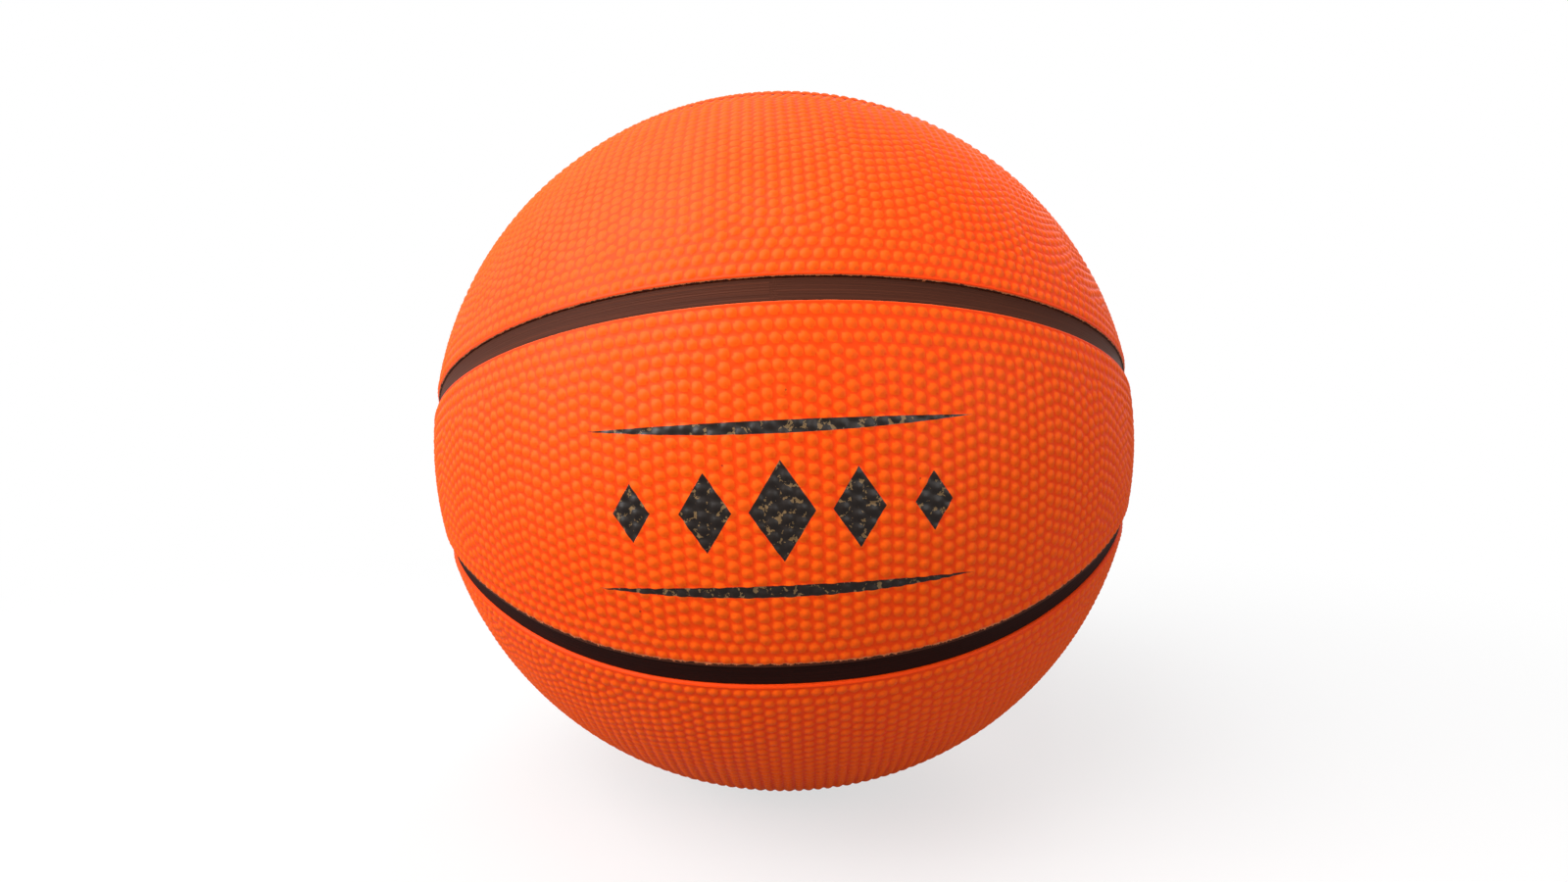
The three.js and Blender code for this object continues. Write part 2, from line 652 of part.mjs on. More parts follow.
// The two light units
for (const [side, place] of [["upper", UPPER_LIGHT_PLACE], ["lower", LOWER_LIGHT_PLACE]]) {
  const unit = new THREE.Group();
  unit.quaternion.copy(turnTo(place));
  ball.add(unit);
  addPiece(unit, `light_pocket_${side}`, pocket(), CLEAR_RUBBER);
  addPiece(unit, `access_plug_${side}`, accessPlug(), BLACK_RUBBER);
  addPiece(unit, `module_housing_${side}`, moduleHousing(), WHITE_PLASTIC);
  addPiece(unit, `module_cap_${side}`, moduleCap(), WHITE_PLASTIC);
  addPiece(unit, `lens_dome_${side}`, lensDome(), CLEAR_PLASTIC);
  addPiece(unit, `led_${side}`, led(), RED_PLASTIC);
  const board = disc(boreRadius - CLEARANCE, boardBottom, boardTop);
  addPiece(unit, `circuit_board_${side}`, board, BOARD_GREEN);
  const contact = disc(boreRadius - CLEARANCE, contactTop - CONTACT_THICKNESS, contactTop);
  addPiece(unit, `cell_contact_${side}`, contact, BRASS);
  for (let index = 0; index < CELL_COUNT; index++) {
    addPiece(unit, `button_cell_${side}_${index + 1}`, buttonCell(index), STEEL);
  }
  addPiece(unit, `cap_spring_${side}`, capSpring.geometry, STEEL);
  const pin = disc(SWITCH_PIN_RADIUS, switchBottom, switchTop, SMALL_SEGMENTS);
  addPiece(unit, `switch_pin_${side}`, pin, BRASS).position.x = SWITCH_OFFSET;
  addPiece(unit, `switch_spring_${side}`, switchSpring.geometry, STEEL).position.x = SWITCH_OFFSET;
}

export default lightUpBall;
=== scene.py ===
"""Looks of a light-up ball: a small rubber basketball with two slide-out light units."""

import math
from types import SimpleNamespace

import bpy
import numpy as np
from bpy.props import FloatProperty, FloatVectorProperty, IntProperty, PointerProperty
from mathutils import Matrix


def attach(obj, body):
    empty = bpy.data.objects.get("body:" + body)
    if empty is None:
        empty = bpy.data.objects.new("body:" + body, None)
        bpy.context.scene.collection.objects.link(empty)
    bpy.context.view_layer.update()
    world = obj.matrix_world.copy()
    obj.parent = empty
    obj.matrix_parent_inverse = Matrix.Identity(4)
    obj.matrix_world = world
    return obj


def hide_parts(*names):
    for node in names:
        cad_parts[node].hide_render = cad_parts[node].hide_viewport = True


bl_info = {
    "name": "Light-up Ball",
    "version": (1, 0, 0),
    "blender": (4, 5, 0),
    "location": "3D View > Sidebar > Light-up Ball",
    "description": "Builds a pebbled rubber ball with seam strips, a valve and two slide-out light units",
    "category": "Add Mesh",
}

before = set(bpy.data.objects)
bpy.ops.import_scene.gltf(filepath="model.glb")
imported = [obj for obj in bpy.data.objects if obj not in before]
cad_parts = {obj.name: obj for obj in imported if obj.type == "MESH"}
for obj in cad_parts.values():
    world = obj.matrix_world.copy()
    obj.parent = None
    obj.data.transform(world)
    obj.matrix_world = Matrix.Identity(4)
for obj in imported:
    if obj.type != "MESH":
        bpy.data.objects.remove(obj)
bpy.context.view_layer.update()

MM = 0.001
TAU = 2 * math.pi
QUARTER = math.pi / 2
SEED = 11


def length(name, default, description):
    """A size in millimetres, kept in metres."""
    return FloatProperty(
        name=name, description=description, default=default * MM, min=0, unit="LENGTH", precision=5
    )


def angle(name, default, description):
    """An angle in degrees, kept in radians."""
    return FloatProperty(
        name=name, description=description, default=math.radians(default), unit="ROTATION", precision=4
    )


def number(name, default, description):
    """A plain number."""
    return FloatProperty(name=name, description=description, default=default, min=0)


def colour(name, default, description):
    """A colour in linear red, green and blue."""
    return FloatVectorProperty(
        name=name, description=description, default=default, min=0, max=1, size=3, subtype="COLOR"
    )


class BallSizes(bpy.types.PropertyGroup):
    """The wall of the ball and the seams in it"""

    radius: length("Radius", 90, "Of the ball over its pebbles")
    cover: length("Cover", 1.9, "Thickness of the rubber cover")
    winding: length("Winding", 0.5, "Thickness of the wound thread layer")
    clearance: length("Clearance", 0.3, "Between pieces that touch")
    facet_gap: length("Facet gap", 0.5, "Between the cover and the winding")
    channel: length("Channel width", 4.6, "Of the seam channels")
    channel_depth: length("Channel depth", 0.8, "From the pebbles' tops to the strips' edges")
    joint: length("Joint", 2.07, "From a seam's middle to where its strip meets the cover")
    strip_gap: length("Strip gap", 0.02, "Between a strip and the lips beside it")
    strip_dish: length("Strip dish", 0.14, "How far a strip's middle lies below its edges")
    strip_ridge: length("Strip ridges", 0.011, "Height of the fine lines along a strip")
    strip_corner: length("Strip corner", 0.12, "How far a strip's corners are rounded down")
    bow_widest: angle("Bow at its widest", 41.6, "From the straight seam, at the front and back")
    bow_narrowest: angle("Bow at its narrowest", 13.1, "From the straight seam, at the sides")
    bow_fullness: angle("Bow fullness", 2.1, "How square the bowed seam's ends are")
    tilt: angle("Tilt", 15.6, "How far the straight seam leans back")
    roll: angle("Roll", 2.5, "How far the straight seam drops on its left")


class PebbleSizes(bpy.types.PropertyGroup):
    """The pebbles of the cover and the edges of its panels"""

    pitch: length("Pitch", 2.2, "From pebble to pebble")
    pebble_radius: length("Radius", 0.94, "Of a pebble's foot")
    height: length("Height", 0.35, "Of a pebble")
    first_row: length("First row", 2.0, "From a channel's edge to the first row")
    lip_width: length("Lip width", 0.45, "Of the rounded edge beside a channel")
    lip_drop: length("Lip drop", 0.5, "How far that edge rolls down into the channel")
    rim_width: length("Rim width", 0.5, "Of the rounded edge round a hole")
    rim_drop: length("Rim drop", 0.25, "How far that edge rolls down")
    bead: length("Bead", 0.07, "How far the edge beside a channel stands up")
    bead_place: length("Bead place", 0.42, "From a panel's edge to the bead's middle")
    bead_width: length("Bead width", 0.2, "Of the bead's bell curve")
    groove_place: length("Groove place", 0.85, "From a panel's edge to the groove behind it")
    groove_width: length("Groove width", 0.16, "Of the groove's bell curve")
    row_bend: number("Row bend", 0.045, "How fast the rows curve, per degree")
    mesh_step: length("Mesh step", 0.46, "Between the surface's points")
    round_steps: IntProperty(name="Settling steps", description="Rounds of evening out", default=24, min=0)


class LightUnitSizes(bpy.types.PropertyGroup):
    """One light unit: plug, pocket and module"""

    upper_longitude: angle("Upper longitude", 60, "Of the upper unit, from the front")
    upper_latitude: angle("Upper latitude", 38, "Of the upper unit, from the straight seam")
    module: length("Module radius", 7.4, "Of the slide-out module")
    housing_wall: length("Housing wall", 1.0, "Of the module's tube")
    pocket_wall: length("Pocket wall", 1.5, "Of the rubber pocket")
    flange: length("Flange radius", 15.5, "Of the pocket's bonded flange")
    head: length("Plug head radius", 8.7, "Of the plug's head")
    head_height: length("Plug head height", 3.9, "Of the plug's head")
    shank: length("Plug shank", 4.5, "Length of the plug's shank")
    face_depth: length("Plug face depth", 0.6, "Of the plug's rim below the pebbles' tops")
    face_groove: length("Face groove radius", 6.9, "Of the round groove in the plug's face")
    face_groove_size: length("Face groove size", 0.28, "Depth and width of that groove")
    rib_depth: length("Plug rib depth", 0.6, "Of the grooves round the shank")
    pry_length: length("Pry slot length", 9, "Of the slot in the plug")
    pry_width: length("Pry slot width", 1.8, "Of the slot in the plug")
    pry_depth: length("Pry slot depth", 1.4, "Of the slot in the plug")
    pry_lift: length("Pry slot lift", 0.35, "Height of the face's middle above its rim")
    cap: length("Cap height", 1.8, "Of the module's screw cap")
    milling: length("Milling depth", 0.16, "Of the notches round the cap")
    notches: IntProperty(name="Notches", description="Round the cap", default=40, min=0)
    spigot: length("Spigot height", 1.5, "Of the cap's ring that enters the tube")
    spigot_wall: length("Spigot wall", 0.9, "Of that ring")
    coin_length: length("Coin slot length", 9, "Of the slot in the cap")
    coin_width: length("Coin slot width", 1.4, "Of the slot in the cap")
    coin_depth: length("Coin slot depth", 0.8, "Of the slot in the cap")
    cell_play: length("Cell play", 0.6, "Round a cell in its tube")
    cell_height: length("Cell height", 5.4, "Of a button cell")
    cell_button: length("Cell button radius", 4.4, "Of a cell's raised pole")
    button_height: length("Cell button height", 0.5, "Of that pole")
    contact: length("Contact thickness", 0.4, "Of the brass contact disc")
    ledge: length("Ledge width", 1.4, "Of the ledges in the tube")
    ledge_height: length("Ledge height", 1.0, "Of the ledges in the tube")
    board: length("Board thickness", 1.0, "Of the circuit board")
    led: length("LED radius", 2.5, "Of the LED's body")
    led_rim: length("LED rim radius", 2.9, "Of the LED's rim")
    led_rim_height: length("LED rim height", 1.0, "Of the LED's rim")
    lens_skirt: length("Lens skirt", 1.2, "Straight part of the clear dome")
    switch_offset: length("Switch offset", 2.2, "Of the impact switch from the axis")
    switch_coil: length("Switch coil radius", 1.6, "Of the spring that shakes")
    switch_wire: length("Switch wire", 0.3, "Thickness of that spring's wire")
    switch_height: length("Switch coil height", 6.2, "Of that spring")
    switch_turns: number("Switch turns", 5, "Of that spring")
    pin: length("Switch pin radius", 0.45, "Of the fixed pin inside the spring")
    cap_coil_inner: length("Cap spring inner radius", 1.6, "Of the spring under the cap")
    cap_coil_play: length("Cap spring play", 0.55, "Round that spring")
    cap_wire: length("Cap spring wire", 0.5, "Thickness of that spring's wire")
    cap_coil_height: length("Cap spring height", 0.7, "Of that spring")
    cap_turns: number("Cap spring turns", 2.5, "Of that spring")


class ValveSizes(bpy.types.PropertyGroup):
    """The valve at the back of the ball"""

    longitude: angle("Longitude", 180, "From the front")
    latitude: angle("Latitude", 21, "From the straight seam")
    flange: length("Flange radius", 9, "Of the flange under the cover")
    neck: length("Neck radius", 3.2, "Of the part that shows")
    barrel: length("Barrel radius", 5.5, "Of the part inside the ball")
    depth: length("Depth", 14, "Of the barrel below the bladder")
    face_depth: length("Face depth", 0.4, "Of the neck's face below the pebbles' tops")
    needle: length("Needle hole radius", 1.0, "Of the hole for the needle")
    needle_length: length("Needle hole length", 5.2, "Down to the core")
    sink: length("Countersink", 0.8, "How much wider the hole's mouth is")
    sink_depth: length("Countersink depth", 0.9, "Of that mouth")
    core: length("Core radius", 2.0, "Of the core that seals")
    bladder: length("Bladder thickness", 0.7, "Of the bladder's wall")


class Finishes(bpy.types.PropertyGroup):
    """Colours of the ball's materials"""

    cover: colour("Cover", (0.95, 0.105, 0.003), "Of the pebbled rubber")
    # Painted shade: the crease colour is a redder, darker orange laid between the pebbles where shade falls;
    # random mottling also blends the cover towards it.
    crease: colour("Creases", (0.92, 0.045, 0.001), "Between the pebbles")
    speck: colour("Specks", (0.12, 0.02, 0.006), "Of the sparse dark specks in the cover")
    # Painted light and shade: the two seam colours are a lit and a shaded copy of one seam paint; the
    # straight and upright strips take the lighter brown, the bowed strips the near-black.
    seam: colour("Seam", (0.066, 0.018, 0.009), "Of the straight and upright seam strips")
    bow_seam: colour("Bowed seam", (0.019, 0.004, 0.0025), "Of the bowed seam strips")
    paint_edge: colour("Paint edge", (0.55, 0.25, 0.1), "Of the thin line where the seam's paint ends")
    ink: colour("Ink", (0.012, 0.007, 0.005), "Of the printed ornament")
    worn_ink: colour("Worn ink", (0.2, 0.12, 0.05), "Of its cracks")
    black: colour("Black rubber", (0.011, 0.01, 0.01), "Of plugs and valve")
    pocket: colour("Pocket", (0.8, 0.83, 0.82), "Of the milky rubber pocket")
    white: colour("White plastic", (0.84, 0.84, 0.81), "Of the module's tube and cap")
    clear: colour("Clear plastic", (0.93, 0.96, 0.98), "Of the module's dome")
    led: colour("LED resin", (0.75, 0.03, 0.02), "Of the LED")
    board: colour("Board", (0.014, 0.15, 0.045), "Of the circuit board")
    steel: colour("Steel", (0.56, 0.57, 0.58), "Of cells and springs")
    brass: colour("Brass", (0.62, 0.4, 0.12), "Of the contact and the pin")
    thread: colour("Thread", (0.65, 0.6, 0.5), "Of the wound layer")
    bladder: colour("Bladder", (0.015, 0.015, 0.016), "Of the bladder")


class StageSetup(bpy.types.PropertyGroup):
    """Camera, floor and light"""

    camera_distance: length("Camera distance", 185.7, "From the ball's centre")
    lens: number("Lens", 14.52, "Focal length on a 36 mm sensor")
    key: number("Key light", 8.6, "Power in watts")
    top: number("Top light", 6.0, "Power in watts")
    side: number("Side light", 6.6, "Power in watts")
    fill: number("Fill light", 4.2, "Power in watts")
    back: number("Back light", 8.0, "Power in watts")
    world: number("World light", 0.12, "Strength all round")


class Millimetres:
    """Reads a property group with its lengths in millimetres."""

    def __init__(self, group):
        self.group = group

    def __getattr__(self, name):
        value = getattr(self.group, name)
        return value / MM if self.group.bl_rna.properties[name].unit == "LENGTH" else value


def scene_sizes():
    """The sizes of the ball, its pebbles, its light units and its valve, lengths in millimetres."""
    scene = bpy.context.scene
    groups = (scene.ball_sizes, scene.pebble_sizes, scene.light_unit_sizes, scene.valve_sizes)
    return [Millimetres(group) for group in groups]


# Directions on the ball

def unit(vectors):
    """Each vector divided by its own length."""
    return vectors / np.linalg.norm(vectors, axis=-1, keepdims=True)


def chord(cosine):
    """The straight distance between two directions whose angle has this cosine."""
    return np.sqrt(np.maximum(2 - 2 * cosine, 0))


def place(longitude, latitude):
    """The unit direction at a longitude from the front towards +X and a latitude from the straight seam."""
    lon, lat = np.broadcast_arrays(np.asarray(longitude, float), np.asarray(latitude, float))
    return np.stack([np.cos(lat) * np.sin(lon), -np.cos(lat) * np.cos(lon), np.sin(lat)], -1)


def upright(turn, before):
    """The unit direction at a turn along the upright seam, from the top to +X, and an angle before it."""
    return place(turn, before)[..., [0, 2, 1]] * [1, -1, -1]


def ball_turn():
    """Turns the ball's own frame into the world's: tilt about X, then roll about Y."""
    ball = bpy.context.scene.ball_sizes
    tilt_cos, tilt_sin = math.cos(ball.tilt), math.sin(ball.tilt)
    roll_cos, roll_sin = math.cos(ball.roll), math.sin(ball.roll)
    about_x = np.array([[1, 0, 0], [0, tilt_cos, tilt_sin], [0, -tilt_sin, tilt_cos]])
    about_y = np.array([[roll_cos, 0, -roll_sin], [0, 1, 0], [roll_sin, 0, roll_cos]])
    return about_y @ about_x


def turn_to(direction):
    """The shortest turn from +Z to a direction: 1, plus the cross matrix, plus its square over 1 + cosine."""
    x, y, z = np.cross([0, 0, 1], direction)
    cross = np.array([[0, -z, y], [z, 0, -x], [-y, x, 0]])
    return np.eye(3) + cross + cross @ cross / (1 + direction[2])


def bow_line(longitude):
    """The bowed seam's middle line: its latitude is a middle value, a swing with twice the longitude and a
    fullness with four times it."""
    ball = bpy.context.scene.ball_sizes
    middle = (ball.bow_widest + ball.bow_narrowest) / 2
    swing = (ball.bow_widest - ball.bow_narrowest) / 2
    fullness = ball.bow_fullness * (1 - np.cos(4 * longitude))
    return place(longitude, middle + swing * np.cos(2 * longitude) + fullness)


def beside_bow(longitude, away):
    """A direction beside the bowed seam: its middle line moved square to itself, positive to the pole."""
    step = 1e-4
    here = bow_line(longitude)
    side = unit(np.cross(here, bow_line(longitude + step) - bow_line(longitude - step)))
    away = np.asarray(away, float)[..., None]
    return here * np.cos(away) + side * np.sin(away)


def nearest(directions, targets):
    """For each direction, the nearest target's number and the cosine of the angle to it, in batches."""
    batch = 4000
    flat = directions.reshape(-1, 3)
    index, cosine = [], []
    for part in np.array_split(flat, max(1, len(flat) // batch)):
        product = part @ targets.T
        index.append(product.argmax(1))
        cosine.append(product.max(1))
    shape = directions.shape[:-1]
    return np.concatenate(index).reshape(shape), np.concatenate(cosine).reshape(shape)


def edge_distances(points, kind, half):
    """Angles from directions to the nearest edge of a long panel or a cap, or to a long panel's bowed edge.
    The one to the bowed edge is the angle to the plane along its nearest stretch."""
    turns = np.linspace(-QUARTER, QUARTER, 1441)
    stretch = nearest(points, beside_bow(turns, 0))[0]
    bow = np.arcsin(np.clip((points * beside_bow(turns, QUARTER)[stretch]).sum(-1), -1, 1))
    front = np.arcsin(np.clip(-points[..., 1], -1, 1))
    straight = np.arcsin(np.clip(points[..., 2], -1, 1))
    edges = {"lens": [-bow, front, straight], "cap": [bow, front], "bow": [-bow]}[kind]
    return np.minimum.reduce(edges) - half


# Meshes

def grid_mesh(name, points, rows_close, columns_close):
    """A mesh of triangles over a grid of points in millimetres, which closes on itself one way or both ways.
    Near-equal points become one, flat triangles go, open ends are filled, and all faces turn over if the
    volume that they enclose is negative. Also gives the number in the grid of each point kept."""
    same = 2e-5
    index = np.arange(points[..., 0].size).reshape(points.shape[:2])
    down = np.roll(index, -1, 0)
    cells = np.stack([index, np.roll(index, -1, 1), np.roll(down, -1, 1), down], -1)
    ends = []
    if not rows_close:
        cells = cells[:-1]
        ends += [index[0, ::-1], index[-1]]
    if not columns_close:
        cells = cells[:, :-1]
        ends += [index[:, 0], index[::-1, -1]]
    quads = cells.reshape(-1, 4)
    points = points.reshape(-1, 3)
    rounded = np.round(points / same).astype(np.int64)
    _, first, merged = np.unique(rounded, axis=0, return_index=True, return_inverse=True)
    merged = merged.reshape(-1)
    kept = points[first]
    triangles = merged[np.concatenate([quads[:, [0, 1, 2]], quads[:, [0, 2, 3]]])]
    triangles = triangles[(triangles != np.roll(triangles, 1, 1)).all(1)]
    ends = [merged[end][merged[end] != np.roll(merged[end], 1)] for end in ends]
    ends = [end for end in ends if len(end) > 2]
    fans = [np.stack([np.full(len(end) - 2, end[0]), end[1:-1], end[2:]], 1) for end in ends]
    corners = kept[np.concatenate([triangles, *fans])]
    volume = (corners[:, 0] * np.cross(corners[:, 1], corners[:, 2])).sum()
    if volume < 0:
        triangles = triangles[:, ::-1]
        ends = [end[::-1] for end in ends]
    mesh = bpy.data.meshes.new(name)
    mesh.vertices.add(len(kept))
    mesh.vertices.foreach_set("co", (kept * MM).astype(np.float32).ravel())
    loops = np.concatenate([triangles.ravel(), *ends]).astype(np.int32)
    counts = np.concatenate([np.full(len(triangles), 3), [len(end) for end in ends]]).astype(np.int32)
    mesh.loops.add(len(loops))
    mesh.loops.foreach_set("vertex_index", loops)
    mesh.polygons.add(len(counts))
    mesh.polygons.foreach_set("loop_start", (np.cumsum(counts) - counts).astype(np.int32))
    mesh.update(calc_edges=True)
    mesh.validate()
    return mesh, first


def add_piece(mesh, name, body, nodes, slot, material, sharp=40):
    """A finished object at the origin that rides on a body and stands for CAD nodes. Edges sharper than the
    angle in degrees stay sharp."""
    mesh.polygons.foreach_set("use_smooth", np.ones(len(mesh.polygons), bool))
    mesh.set_sharp_from_angle(angle=math.radians(sharp))
    mesh.materials.clear()
    mesh.materials.append(material)
    piece = bpy.data.objects.new(name, mesh)
    bpy.context.scene.collection.objects.link(piece)
    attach(piece, body)
    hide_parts(*nodes)


def cut(mesh, cutter):
    """The mesh with a closed cutter taken away, by Blender's Boolean modifier, applied."""
    fewest_faces = 20
    pair = [bpy.data.objects.new("cutting", part) for part in (mesh, cutter)]
    for item in pair:
        bpy.context.scene.collection.objects.link(item)
    piece, tool = pair
    modifier = piece.modifiers.new("cut", "BOOLEAN")
    modifier.operation, modifier.solver, modifier.object = "DIFFERENCE", "MANIFOLD", tool
    graph = bpy.context.evaluated_depsgraph_get()
    result = bpy.data.meshes.new_from_object(piece.evaluated_get(graph))
    for item in pair:
        bpy.data.objects.remove(item)
    if len(result.polygons) < fewest_faces:
        raise RuntimeError(f"cutting {mesh.name} left nothing")
    return result


def stairs(*values):
    """A profile of level and upright steps: a radius, a height, the next radius at that height, and so on."""
    pairs = enumerate(zip(values, values[1:]))
    return [[second, first] if index % 2 else [first, second] for index, (first, second) in pairs]


def eased(profile, size, closed=False):
    """A profile with rounded corners: each becomes four points of a parabola that ends a size away."""
    most, straight = 0.45, -0.9
    points = np.asarray(profile, float)
    sides = np.stack([np.roll(points, 1, 0), np.roll(points, -1, 0)]) - points
    reach = np.maximum(np.linalg.norm(sides, axis=-1, keepdims=True), 1e-9)
    start, finish = points + sides * np.minimum(size / reach, most)
    turns = (sides[0] * sides[1]).sum(-1) / (reach[0] * reach[1])[:, 0] > straight
    if not closed:
        turns[[0, -1]] = False
    share = np.linspace(0, 1, 4)[:, None]
    bends = (1 - share) ** 2 * start[:, None] + share**2 * finish[:, None]
    bends = bends + 2 * share * (1 - share) * points[:, None]
    return np.concatenate([bend if turn else point[None] for bend, turn, point in zip(bends, turns, points)])


def arc(radius, centre, start, end, steps):
    """Points of a circle's arc for a profile: its centre on the axis, angles from the axis."""
    angles = np.linspace(start, end, steps + 1)
    return np.stack([np.maximum(radius * np.sin(angles), 0), centre + radius * np.cos(angles)], -1)


def shell_arc(radius, start, end, steps):
    """Points of an arc about the ball's centre, from one distance off the axis to another."""
    return arc(radius, 0, math.asin(start / radius), math.asin(end / radius), steps)


def turned(name, profile, turn, closed=False, segments=96, offset=0.0, milling=0.0, notches=0):
    """A profile of radius and height pairs swept round an axis. Milling dips the radius where it is widest,
    with the cosine of the notches' count times the angle."""
    nearly = 0.05
    profile = np.asarray(profile, float)
    angles = np.arange(segments) / segments * TAU
    widest = profile[:, :1] > profile[:, 0].max() - nearly
    radius = profile[:, :1] - widest * milling * (0.5 - 0.5 * np.cos(notches * angles))
    height = np.repeat(profile[:, 1:], segments, 1)
    points = np.stack([radius * np.cos(angles) + offset, radius * np.sin(angles), height], -1)
    return grid_mesh(name, points @ turn.T, closed, True)[0]


def slotted(mesh, slot_length, width, depth, height, turn):
    """A mesh with a slot cut into its top: the cutter is a stadium carried up from the slot's floor."""
    angles = np.linspace(-QUARTER, QUARTER, 13)
    outline = np.stack([slot_length - width + width * np.cos(angles), width * np.sin(angles)], -1) / 2
    outline = np.concatenate([outline, -outline])
    levels = [np.column_stack([outline, np.full(len(outline), height + rise)]) for rise in (-depth, depth)]
    return cut(mesh, grid_mesh("slot", np.stack(levels) @ turn.T, False, True)[0])


def coil(start, end, wire, turns, bottom, height, offset, turn):
    """A round wire wound about an axis, from one radius to another: its centre rises evenly with the
    angle, and circles stand across its path."""
    steps, sides = 40, 12
    share = np.linspace(0, 1, int(turns * steps) + 1)
    wound = share * turns * TAU
    radius = start + (end - start) * share
    centre = np.stack([radius * np.cos(wound), radius * np.sin(wound), bottom + height * share], -1)
    up = unit(np.cross(np.gradient(centre, axis=0), unit(centre * [1, 1, 0])))
    level = np.cross(up, unit(np.gradient(centre, axis=0)))
    around = (np.arange(sides) / sides * TAU)[:, None]
    circle = level[:, None] * np.cos(around) + up[:, None] * np.sin(around)
    points = centre[:, None] + circle * wire / 2 + [offset, 0, 0]
    return grid_mesh("coil", points @ turn.T, False, True)[0]


# Materials

class Nodes:
    """The nodes of a material or world, linked as they are made."""

    def __init__(self, tree):
        self.tree = tree

    def feed(self, socket, value):
        """Links a socket to another one or sets its value. A colour of three numbers becomes opaque."""
        if isinstance(value, bpy.types.NodeSocket):
            self.tree.links.new(value, socket)
        elif socket.type == "RGBA" and len(value) == 3:
            socket.default_value = (*value, 1.0)
        else:
            socket.default_value = value

    def add(self, kind, inputs=(), **settings):
        """A node with its settings, and its inputs fed by name or number."""
        made = self.tree.nodes.new(f"ShaderNode{kind}")
        for key, value in settings.items():
            setattr(made, key, value)
        for key, value in dict(inputs).items():
            self.feed(made.inputs[key], value)
        return made

    def math(self, operation, first, second=0.0, third=0.0):
        """One step of arithmetic."""
        return self.add("Math", {0: first, 1: second, 2: third}, operation=operation).outputs[0]

    def scaled(self, value, factor, plus):
        """A value times a factor plus another."""
        return self.math("MULTIPLY_ADD", value, factor, plus)

    def step(self, value, low, high):
        """Nought at the low value, one at the high one, smooth between."""
        inputs = {"Value": value, "From Min": low, "From Max": high, "To Min": 0.0, "To Max": 1.0}
        return self.add("MapRange", inputs, interpolation_type="SMOOTHSTEP").outputs[0]

    def blend(self, factor, first, second):
        """A colour between two, by a factor."""
        return self.add("Mix", {"Factor": factor, 6: first, 7: second}, data_type="RGBA").outputs[2]


class Finish(Nodes):
    """A new material with its shader and its Object coordinates."""

    def __init__(self, name):
        self.material = bpy.data.materials.new(name)
        self.material.use_nodes = True
        super().__init__(self.material.node_tree)
        self.shader = self.tree.nodes["Principled BSDF"]
        self.where = self.add("TexCoord").outputs["Object"]

    def set(self, **inputs):
        """Feeds the shader's inputs, their names written with underscores for spaces."""
        for key, value in inputs.items():
            self.feed(self.shader.inputs[key.replace("_", " ")], value)

    def attribute(self, name):
        """A number stored at the mesh's points."""
        return self.add("Attribute", attribute_name=name).outputs["Fac"]

    def noise(self, scale, detail=2.0, roughness=0.5, where=None):
        """Smooth noise between nought and one, of so many waves to the metre."""
        inputs = {"Vector": where or self.where, "Scale": scale, "Detail": detail, "Roughness": roughness}
        return self.add("TexNoise", inputs).outputs["Fac"]

    def bump(self, height, strength, distance):
        """Raises the surface's look by a height of up to so many millimetres."""
        inputs = {"Height": height, "Strength": strength, "Distance": distance * MM}
        self.set(Normal=self.add("Bump", inputs).outputs[0])

    def grain(self, scale, strength, distance):
        """A shallow noisy bump."""
        self.bump(self.noise(scale, 3.0, 0.6), strength, distance)


def cover_material(name, printed=False):
    """Pebbled rubber: painted shade that turns the creases a redder, darker orange than the pebble tops,
    random mottling, sparse specks, the paint's edge, and the seam colour on the lips, which is real paint
    along the bowed seam and painted shadow under the lips along the straight seam and the ends.
    """
    looks = bpy.context.scene.finishes
    finish = Finish(name)
    crease_shade_end, speck_size, cracks = (0.02, 0.32), 0.022, 0.56
    line_end, paint_and_lip_shade_end = (1.2, 1.0), (0.88, 0.8)
    pebble, edge = finish.attribute("pebble"), finish.attribute("paint_mm")
    # Painted shade in the creases: the colour turns to the crease colour where the pebbles' relief is low,
    # and random mottling shifts it a little either way.
    crease = finish.scaled(finish.step(pebble, *crease_shade_end), -0.75, 0.75)
    mottle = finish.scaled(finish.noise(22, 3, 0.55), 0.3, -0.12)
    body = finish.blend(finish.math("ADD", crease, mottle), looks.cover, looks.crease)
    cells = finish.add("TexVoronoi", {"Vector": finish.where, "Scale": 110})
    speck = finish.math("LESS_THAN", cells.outputs["Distance"], speck_size)
    body = finish.blend(finish.math("MULTIPLY", speck, 0.55), body, looks.speck)
    ragged = finish.scaled(finish.noise(1100, 3, 0.75), -1.8, 0.9)
    line = finish.step(finish.scaled(ragged, 0.2, edge), *line_end)
    body = finish.blend(finish.math("MULTIPLY", line, 0.7), body, looks.paint_edge)
    # The seam colour on the lips: the seam's real paint along the bowed seam, and painted shadow under the
    # lips along the straight seam and the ends.
    paint_and_lip_shade = finish.step(finish.math("ADD", edge, ragged), *paint_and_lip_shade_end)
    body = finish.blend(paint_and_lip_shade, body, looks.seam)
    rough = finish.scaled(finish.noise(260), 0.16, 0.42)
    sheen = finish.scaled(finish.noise(60), 0.08, 0.07)
    if printed:
        ink = ornament_mask(finish)
        foot = finish.math("COMPARE", pebble, 0.12, 0.12)
        cracked = finish.math("GREATER_THAN", finish.noise(700, 3, 0.7), cracks)
        coat = finish.blend(finish.math("MULTIPLY", foot, cracked), looks.ink, looks.worn_ink)
        body = finish.blend(ink, body, coat)
        rough = finish.scaled(ink, -0.14, rough)
        sheen = finish.scaled(ink, 0.22, sheen)
    finish.set(Base_Color=body, Roughness=rough, Specular_IOR_Level=sheen)
    finish.grain(2600, 0.12, 0.1)
    return finish.material


